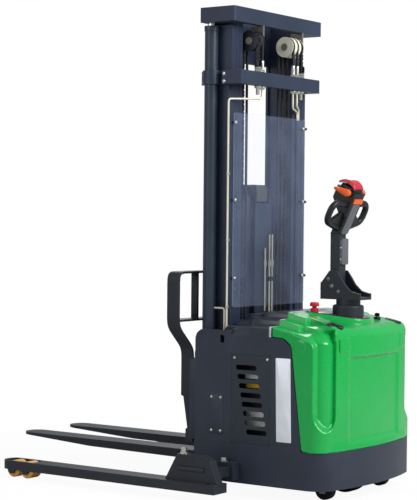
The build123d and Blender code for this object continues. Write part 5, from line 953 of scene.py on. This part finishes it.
PITCH = 15.7
LEAVES = 5
LEAF_GAP = 0.2
WAIST_SHARE = 0.7
PIN_SHARE = 0.42
PIN_PROUD = 1.0
LIFT_CHAIN_Y = 179.0
LIFT_CHAIN = (LIFT_CHAIN_Y, 17.0, 6.6)
CARRIAGE_CHAIN = (55.0, 13.0, 5.6)
SHEAVE_PLACE = (-37.0, 1965.0)
SHEAVE_R = 40.0
FRONT_X = SHEAVE_PLACE[0] - SHEAVE_R
REAR_X = SHEAVE_PLACE[0] + SHEAVE_R
CHAIN_HEAD = 1866.0
ANCHOR_TOP = 1880.0
INNER_ANCHOR = 170.0
CROSSHEAD = (-130.0, 1292.0)
FOOT_ANCHOR = 135.0
CARRIAGE_LUG = 544.0
ANCHOR_SPOT = tuple(at(REAR_X, 0.0, ANCHOR_TOP))
SHEAVE_REAR = tuple(at(REAR_X, 0.0, SHEAVE_PLACE[1]))
SHEAVE_FRONT = tuple(at(FRONT_X, 0.0, SHEAVE_PLACE[1]))
FOOT_SPOT = tuple(at(CROSSHEAD[0], 0.0, FOOT_ANCHOR))
CROSSHEAD_SPOT = tuple(at(CROSSHEAD[0], 0.0, CROSSHEAD[1]))
chain_steel = drawn_metal("oiled_chain_steel", (58, 58, 60), 0.36, dirt=0.4, metal=0.8)
lift_rear = chain_piece("lift_chain_rear", run_down(REAR_X, SHEAVE_PLACE[1], CHAIN_HEAD, PITCH),
                        LIFT_CHAIN, None)
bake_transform(lift_rear)
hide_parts("lift_chain_rear_runs")
chain_piece("lift_chain_wraps", over_sheave(SHEAVE_PLACE, SHEAVE_R, PITCH), LIFT_CHAIN, "middle_mast")
lift_front = chain_piece("lift_chain_front", run_down(FRONT_X, SHEAVE_PLACE[1], INNER_ANCHOR, PITCH),
                         LIFT_CHAIN, "middle_mast")
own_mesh(lift_front)
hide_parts("lift_chain_front_runs")
carriage_rear = chain_piece("carriage_chain_rear",
                            run_down(CROSSHEAD[0] + SHEAVE_R, CROSSHEAD[1], FOOT_ANCHOR, PITCH),
                            CARRIAGE_CHAIN, None)
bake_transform(carriage_rear)
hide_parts("carriage_chain_rear_runs")
chain_piece("carriage_chain_wraps", over_sheave(CROSSHEAD, SHEAVE_R, PITCH),
            CARRIAGE_CHAIN, "free_lift_head")
carriage_front = chain_piece("carriage_chain_front",
                             run_down(CROSSHEAD[0] - SHEAVE_R, CROSSHEAD[1], CARRIAGE_LUG, PITCH),
                             CARRIAGE_CHAIN, "free_lift_head")
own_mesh(carriage_front)
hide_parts("carriage_chain_front_runs")


# Hoses: rubber pressure hose over the pulleys beside the chains, with crimped zinc ends
# in the crossbar. Each chain ends there in a dark clevis on a threaded rod with zinc nuts.
def round_bar(path, helper, radius, steps):
    """A round bar along places (x, y, z): a ring square to its way at each place, closed at both ends.
    The helper is a direction that the bar never runs along."""
    way = np.gradient(path, axis=0)
    way = way / np.linalg.norm(way, axis=1, keepdims=True)
    first = np.cross(way, helper)
    first = first / np.linalg.norm(first, axis=1, keepdims=True)
    second = np.cross(way, first)
    turn = np.arange(steps)[:, None] * (2 * np.pi / steps)
    rings = path[:, None] + radius * (np.cos(turn) * first[:, None] + np.sin(turn) * second[:, None])
    ends = np.broadcast_to(path[[0, -1], None], (2, steps, 3))
    return at(*np.moveaxis(np.concatenate([ends[:1], rings, ends[1:]]), -1, 0))


def tube(path, y, radius):
    """A hose or pipe along places (x, z) in an upright plane."""
    return round_bar(np.insert(path, 1, y, axis=1), ACROSS, radius, 14)


def hose_piece(name, path, body):
    """The same run of hose in every lane, as one piece."""
    return piece(name, [tube(path, y, HOSE_R) for y in HOSE_LANES], hose_rubber, body)


def hex_nut(x, y, low, high, radius):
    """A hexagon nut standing on end, its corners chamfered."""
    cut = 0.18 * (high - low)
    rows = [[0.0, low], [HEX_FLAT * radius, low], [radius, low + cut], [radius, high - cut],
            [HEX_FLAT * radius, high], [0.0, high]]
    return turned(rows, (x, y, 0.0), UP, 6)


HOSE_LANES = (-145.0, 145.0, 111.0)
HOSE_R = 6.0
HOSE_END = 1872.0
hose_rubber = moulded("hose_rubber", (26, 27, 30), 0.55, 400.0, 0.2)
hose_rear = hose_piece("hose_rear", run_down(REAR_X, SHEAVE_PLACE[1], HOSE_END, 8.0), None)
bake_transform(hose_rear)
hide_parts("hose_rear_runs")
hose_piece("hose_wraps", over_sheave(SHEAVE_PLACE, SHEAVE_R, 5.0), "middle_mast")
hose_front = hose_piece("hose_front", run_down(FRONT_X, SHEAVE_PLACE[1], INNER_ANCHOR, 60.0), "middle_mast")
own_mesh(hose_front)
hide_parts("hose_front_runs")
CRIMP_BANDS = ((1839.0, 1846.0), (1848.0, 1856.0), (1858.0, 1866.0))
CRIMP = [[0.0, 1752.0], [7.0, 1752.0], [7.0, 1838.0]]
for low, high in CRIMP_BANDS:
    CRIMP += [[9.0, low], [9.0, high], [8.0, high + 1.0]]
CRIMP += [[9.0, 1868.0], [9.0, 1878.0], [7.5, 1880.0], [0.0, 1880.0]]
ROD = [[0.0, 1728.0], [7.0, 1728.0], [8.0, 1730.0], [8.0, 1852.0], [0.0, 1852.0]]
BAR_FACES = (1768.0, 1828.0)
ROD_NUTS = ((BAR_FACES[1], 1840.0), (1841.0, 1850.0), (1756.0, BAR_FACES[0]))
ROD_NUT_R = 15.0
HOSE_NUTS = ((BAR_FACES[1], 1838.0), (1754.0, BAR_FACES[0]))
HOSE_NUT_R = 12.5
CLEVIS_HALF = 11.5
anchor_lanes = [side * LIFT_CHAIN_Y for side in SIDES.values()]
rods = [turned(ROD, (REAR_X, y, 0.0), UP, 20) for y in anchor_lanes]
anchor_rods = piece("anchor_rods", rods, zinc, "chassis")
nuts = [hex_nut(REAR_X, y, *faces, ROD_NUT_R) for y in anchor_lanes for faces in ROD_NUTS]
nuts += [hex_nut(REAR_X, y, *faces, HOSE_NUT_R) for y in HOSE_LANES for faces in HOSE_NUTS]
piece("anchor_nuts", nuts, zinc, "chassis")
crimps = [turned(CRIMP, (REAR_X, y, 0.0), UP, 20) for y in HOSE_LANES]
piece("hose_crimps", crimps, zinc, "chassis")
clevis_steel = drawn_metal("clevis_steel", (38, 39, 43), 0.4, dirt=0.3, metal=0.5)
cheek = slab(rounded(22.0, 34.0, 9.0), -2.0, 2.0, 0.8)
foot = slab(rounded(22.0, 27.0, 3.0), 1848.0, 1855.0, 1.0)
clevises = [at(REAR_X + cheek[..., 0], y + shift + cheek[..., 2], CHAIN_HEAD + cheek[..., 1])
            for y in anchor_lanes for shift in (-CLEVIS_HALF, CLEVIS_HALF)]
clevises += [at(REAR_X + foot[..., 0], y + foot[..., 1], foot[..., 2]) for y in anchor_lanes]
piece("chain_clevises", clevises, clevis_steel, "chassis")
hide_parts("chain_anchors")


# Pipes down the back of the mast: from the hose ends sideways to the rails and down them, held
# by clips on the near side and painted below the bend on the far side, and a short one from the
# port of each lift cylinder. Flat bars cover the edges of the rails beside the guard.
def bent_pipe(points, helper):
    """A pipe along a broken line with its bends rounded."""
    return round_bar(smoothed(points, PIPE_BEND, 260), helper, PIPE_R, 12)


def pipe_line(hose_y, lane, turn_z, foot_z):
    """A pipe from under a hose end, sideways to its lane on the rail, and down that to its foot."""
    return [(REAR_X, hose_y, PIPE_HEAD), (REAR_X, hose_y, turn_z),
            (PIPE_X, lane, turn_z - PIPE_FALL), (PIPE_X, lane, foot_z)]


PIPE_R = 4.5
PIPE_BEND = 40.0
PIPE_X = -53.0
PIPE_HEAD = 1756.0
PIPE_FALL = 8.0
PIPE_FOOT = 686.0
FAR_TURN = 1640.0
NEAR_LANE = -322.0
FAR_LANES = (250.0, 237.0)
PIPE_TURNS = (1712.0, 1699.0, 1686.0)
PIPE_ENDS = (PIPE_FOOT, FAR_TURN, FAR_TURN)
PORT = (-118.0, 320.0, 795.0)
PORT_DROP_X = -66.0
pipe_zinc = drawn_metal("cream_zinc_pipe", (226, 219, 198), 0.36, dirt=0.1, metal=0.35)
pipe_grids = [bent_pipe(pipe_line(*places), ALONG)
              for places in zip(HOSE_LANES, (NEAR_LANE, *FAR_LANES), PIPE_TURNS, PIPE_ENDS)]
for side in SIDES.values():
    port_y = side * PORT[1]
    port_line = [(PORT[0], port_y, PORT[2]), (PORT_DROP_X, port_y, PORT[2]),
                 (PORT_DROP_X, port_y, PIPE_FOOT)]
    pipe_grids.append(bent_pipe(port_line, ACROSS))
pipes = piece("hydraulic_pipe_runs", pipe_grids, pipe_zinc, "chassis")
far_drops = [bent_pipe([(PIPE_X, y, FAR_TURN), (PIPE_X, y, PIPE_FOOT)], ALONG) for y in FAR_LANES]
piece("coated_pipe_runs", far_drops, cylinder_coat, "chassis")
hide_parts("hydraulic_pipes")
CLIP_HEIGHTS = (1380.0, 1091.0, 801.0)
CLIP_RING = [[4.2, -5.0], [6.4, -5.0], [6.4, 5.0], [4.2, 5.0]]
CLIP_TAB_Y = -311.0
clip_tab = slab(rounded(20.0, 9.0, 2.0), -57.6, -55.0, 0.6)
clips = [turned(CLIP_RING, (PIPE_X, NEAR_LANE, z), UP, 20) for z in CLIP_HEIGHTS]
clips += [across_mast(clip_tab, CLIP_TAB_Y, z) for z in CLIP_HEIGHTS]
piece("pipe_clips", clips, zinc, "chassis")
EDGE_BAR_PLACE = (300.5, 1228.0)
edge_bar = slab(rounded(29.0, 1076.0, 2.0), -60.5, -57.8, 0.6)
piece("rail_edge_bars", [across_mast(edge_bar, *EDGE_BAR_PLACE, side) for side in SIDES.values()],
      slate, "chassis")


# Guard: a clear polycarbonate sheet behind the mast, faintly blue and denser at its sawn
# edges. It is held by six stand-offs on the rails.
def clear_sheet(name, colour, cover, edge_cover):
    """Clear plastic: a mostly open face with a faint haze of scratches and a glossy skin. Where the
    surface no longer faces along the mast, at the sawn edges, it is much denser."""
    material, tree = fresh_material(name)
    where = wired(tree, "ShaderNodeTexCoord").outputs["Object"]
    haze = wired(tree, "ShaderNodeTexNoise", {"Vector": where, "Scale": 9.0, "Detail": 6.0})
    flat = wired(tree, "ShaderNodeNewGeometry").outputs["Normal"]
    facing = wired(tree, "ShaderNodeVectorMath", {0: flat, 1: ALONG}, operation="DOT_PRODUCT")
    turned_off = wired(tree, "ShaderNodeMath", {0: facing.outputs["Value"]}, operation="ABSOLUTE")
    edge = wired(tree, "ShaderNodeMapRange", {"Value": turned_off.outputs[0], "From Min": 0.9,
                                              "From Max": 0.4, "To Min": 0.0, "To Max": edge_cover})
    open_face = spread(tree, haze.outputs["Fac"], cover - 0.015, cover + 0.015)
    alpha = wired(tree, "ShaderNodeMath", {0: open_face, 1: edge.outputs["Result"]}, operation="ADD")
    surfaced(tree, {"Base Color": shade(*colour), "Roughness": 0.12, "Alpha": alpha.outputs[0]})
    return material


dress(clear_sheet("clear_polycarbonate", (190, 206, 246), 0.058, 0.4), "mast_guard")

# Pipes on the inner stage, seen through the guard: three thin zinc pipes clipped on its guide
# plate, with union nuts, that feed the middle cylinder. The plate has a wing on each side.
GUIDE_PIPE_X = -71.6
GUIDE_PIPE_R = 4.2
GUIDE_PIPES = {7.0: (770.0, 1054.0), 43.0: (767.0, 1114.0), 66.0: (767.0, 1114.0)}
UNION_Z = (970.0, 998.0)
UNION_R = 8.0
GUIDE_WING_PLACE = (113.0, 712.5)
GUIDE_CLIP_PLACE = (54.5, 914.0)
guide_pipes = [tube(run_down(GUIDE_PIPE_X, high, low, 60.0), y, GUIDE_PIPE_R)
               for y, (low, high) in GUIDE_PIPES.items()]
piece("guide_pipes", guide_pipes, pipe_zinc, "inner_mast")
unions = [hex_nut(GUIDE_PIPE_X, y, *UNION_Z, UNION_R) for y in GUIDE_PIPES]
piece("guide_pipe_nuts", unions, zinc, "inner_mast")
guide_wing = slab(rounded(74.0, 1155.0, 3.0), -102.4, -99.4, 0.8)
piece("guide_wings", [across_mast(guide_wing, *GUIDE_WING_PLACE, side) for side in SIDES.values()],
      slate, "inner_mast")
guide_clip = slab(rounded(46.0, 20.0, 4.0), -77.0, -66.5, 1.5)
piece("guide_pipe_clip", [across_mast(guide_clip, *GUIDE_CLIP_PLACE)], clevis_steel, "inner_mast")

# Carriage and forks: flame-cut plate and forged blades in black paint. The carriage rides in
# the inner stage, and the forks hang on its two bars and shift along them.
load_coat = painted("load_black_paint", (36, 39, 45), 0.42, 0.16)
dress(load_coat, "carriage", "left_fork", "right_fork")

# Load backrest: one flat bar bent to a loop, with a soft S above the carriage, a cross rail
# and upright slats welded in. Its feet are cut narrower where they are bolted to the carriage.
BACKREST_X = (-276.0, -211.0)
BACKREST_MIDDLE_X = sum(BACKREST_X) / 2
BAR_THICK = 10.0
BAR_EDGE = 1.5
LOOP_BEND = 110.0
LOOP_HALF = 452.0
LOOP_TOP = 948.0
FOOT_HALF = 343.0
FOOT_Z = 204.0
JOG_Z = (612.0, 713.0)
FOOT_FRONT = ((FOOT_Z, 258.0, 260.0, 403.0, 405.0), (-250.0, -250.0, -240.0, -264.0, -276.0))
RAIL_Z = 739.0
RAIL_WIDTH = BACKREST_X[1] - BACKREST_X[0]
SLAT_WIDTH = 36.0
WELD_GAP = 4.0
SLAT_PLACES = 117.0 * (np.arange(6) - 2.5)


def flat_bar(line, edge=BAR_EDGE):
    """A flat bar on edge, bent along a line of places across and up: at each place a rounded oblong
    stands square to the line, from the front edge that its height gives to the straight rear edge."""
    across, up = smoothed(line, LOOP_BEND, 420).T
    run = np.stack([np.gradient(across), np.gradient(up)])
    out_y, out_z = np.stack([run[1], -run[0]]) / np.linalg.norm(run, axis=0)
    front = np.interp(up, *FOOT_FRONT)[:, None]
    half = BAR_THICK / 2
    rear_share = np.array([0, 1, 1, 1, 1, 0, 0, 0])
    inset = edge * np.array([1, -1, 0, 0, -1, 1, 0, 0])
    thick = np.array([-half, -half, edge - half, half - edge, half, half, half - edge, edge - half])
    x = front + rear_share * (BACKREST_X[1] - front) + inset
    y = across[:, None] + out_y[:, None] * thick
    z = up[:, None] + out_z[:, None] * thick
    rows = np.stack([x, y, z], axis=-1)
    ends = np.broadcast_to(rows[[0, -1]].mean(axis=1, keepdims=True), (2,) + rows.shape[1:])
    return at(*np.moveaxis(np.concatenate([ends[:1], rows, ends[1:]]), -1, 0))


left_line = [(-FOOT_HALF, FOOT_Z), (-FOOT_HALF, JOG_Z[0]),
             (-LOOP_HALF, JOG_Z[1]), (-LOOP_HALF, LOOP_TOP)]
loop_line = left_line + [(-y, z) for y, z in reversed(left_line)]
rail = slab(rounded(RAIL_WIDTH, BAR_THICK, BAR_EDGE), WELD_GAP - LOOP_HALF, LOOP_HALF - WELD_GAP, 0.5)
slat = slab(rounded(SLAT_WIDTH, BAR_THICK, BAR_EDGE), RAIL_Z + WELD_GAP, LOOP_TOP - WELD_GAP, 0.5)
backrest_grids = [flat_bar(loop_line), on_side(rail, 1, BACKREST_MIDDLE_X, RAIL_Z)]
backrest_grids += [at(BACKREST_MIDDLE_X + slat[..., 0], y + slat[..., 1], slat[..., 2])
                   for y in SLAT_PLACES]
backrest = piece("backrest_loop", backrest_grids, load_coat, "carriage")
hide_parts("load_backrest")

# Tiller: a cast collar and bracket, a pressed arm and a moulded head with two hand loops. The
# horn button is orange, and the belly pad at the end of the head is red.
tiller_coat = painted("tiller_powder_coat", (38, 42, 50), 0.4, 0.12)
orange_plastic = moulded("orange_wing_plastic", (232, 96, 34), 0.4, 700.0, 0.08)
dress(tiller_coat, "tiller_collar", "tiller_base", "tiller_arm")
dress(black_plastic, "tiller_head")
dress(orange_plastic, "horn_button")
dress(red_plastic, "belly_button")


# Trim of the tiller: orange wings beside the head, a grey rear cover on the arm with two screws
# on each side, a grey panel on the neck for the operator, bolt heads on the bracket.
def head_at(across, ahead_by, up_by):
    """Places on the leaning head, in millimetres across, ahead of and along its middle line."""
    x = HEAD_FOOT[0] + math.sin(HEAD_LEAN) * up_by - math.cos(HEAD_LEAN) * ahead_by
    z = HEAD_FOOT[1] + math.cos(HEAD_LEAN) * up_by + math.sin(HEAD_LEAN) * ahead_by
    return at(x, across, z)


HEAD_FOOT = (314.0, 1122.0)
HEAD_LEAN = math.radians(25.0)
HEAD_CAP_AHEAD = 25.0
PANEL_UP = 84.0
WING_ENDS = ((338.0, 1321.0, 7.0), (392.0, 1299.5, 16.0))
WING_Y = (50.0, 76.0)
ARM_COVER_Z = 1045.5
ARM_COVER_SIDE = 27.2
COVER_SCREWS = ((343.0, 1062.0), (343.0, 1011.0))
BRACKET_SIDE = 50.0
BRACKET_BOLTS = ((295.0, 926.0), (345.0, 872.0))
PIVOT_SIDE = 53.6
PIVOT = (314.0, 895.0)
BRACKET_FRONT = (256.4, 45.0)
FRONT_BOLTS = (907.0, 884.0)
grey_plastic = moulded("grey_trim_plastic", (92, 94, 99), 0.4, 800.0, 0.12)
bolt_grey = drawn_metal("grey_bolt_steel", (120, 122, 126), 0.4, dirt=0.25, metal=0.7)
wing = slab(teardrop(*WING_ENDS, 0.0, 40)[0], *WING_Y, 5.0)
wings = piece("butterfly_wings", [on_side(wing, side, 0.0, 0.0) for side in SIDES.values()],
              orange_plastic, "butterfly")
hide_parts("butterfly")
head_cap = slab(rounded(76.0, 86.0, 22.0), 192.0, 218.0, 8.0)
piece("head_cap", [head_at(head_cap[..., 0], HEAD_CAP_AHEAD + head_cap[..., 1], head_cap[..., 2])],
      black_plastic, "tiller")
arm_cover = slab(rounded(55.0, 114.0, 8.0), 336.0, 351.0, 2.5)
piece("tiller_arm_cover", [across_mast(arm_cover, 0.0, ARM_COVER_Z)],
      grey_plastic, "tiller")
piece("tiller_cover_screws", side_domes(COVER_SCREWS, ARM_COVER_SIDE, 4.0, 2.4), zinc, "tiller")
neck_panel = slab(rounded(58.0, 146.0, 12.0), 20.0, 29.0, 2.5)
piece("operator_panel", [head_at(neck_panel[..., 0], -neck_panel[..., 2], PANEL_UP + neck_panel[..., 1])],
      grey_plastic, "tiller")
bracket_bolts = side_domes(BRACKET_BOLTS, BRACKET_SIDE, 8.5, 5.0)
bracket_bolts += side_domes([PIVOT], PIVOT_SIDE, 10.0, 4.0)
piece("bracket_cheek_bolts", bracket_bolts, bolt_grey, "steering")
front_bolts = [dome_head((BRACKET_FRONT[0], side * BRACKET_FRONT[1], z), (-1, 0, 0), 5.0, 4.0)
               for side in SIDES.values() for z in FRONT_BOLTS]
piece("bracket_edge_bolts", front_bolts, chrome, "steering")
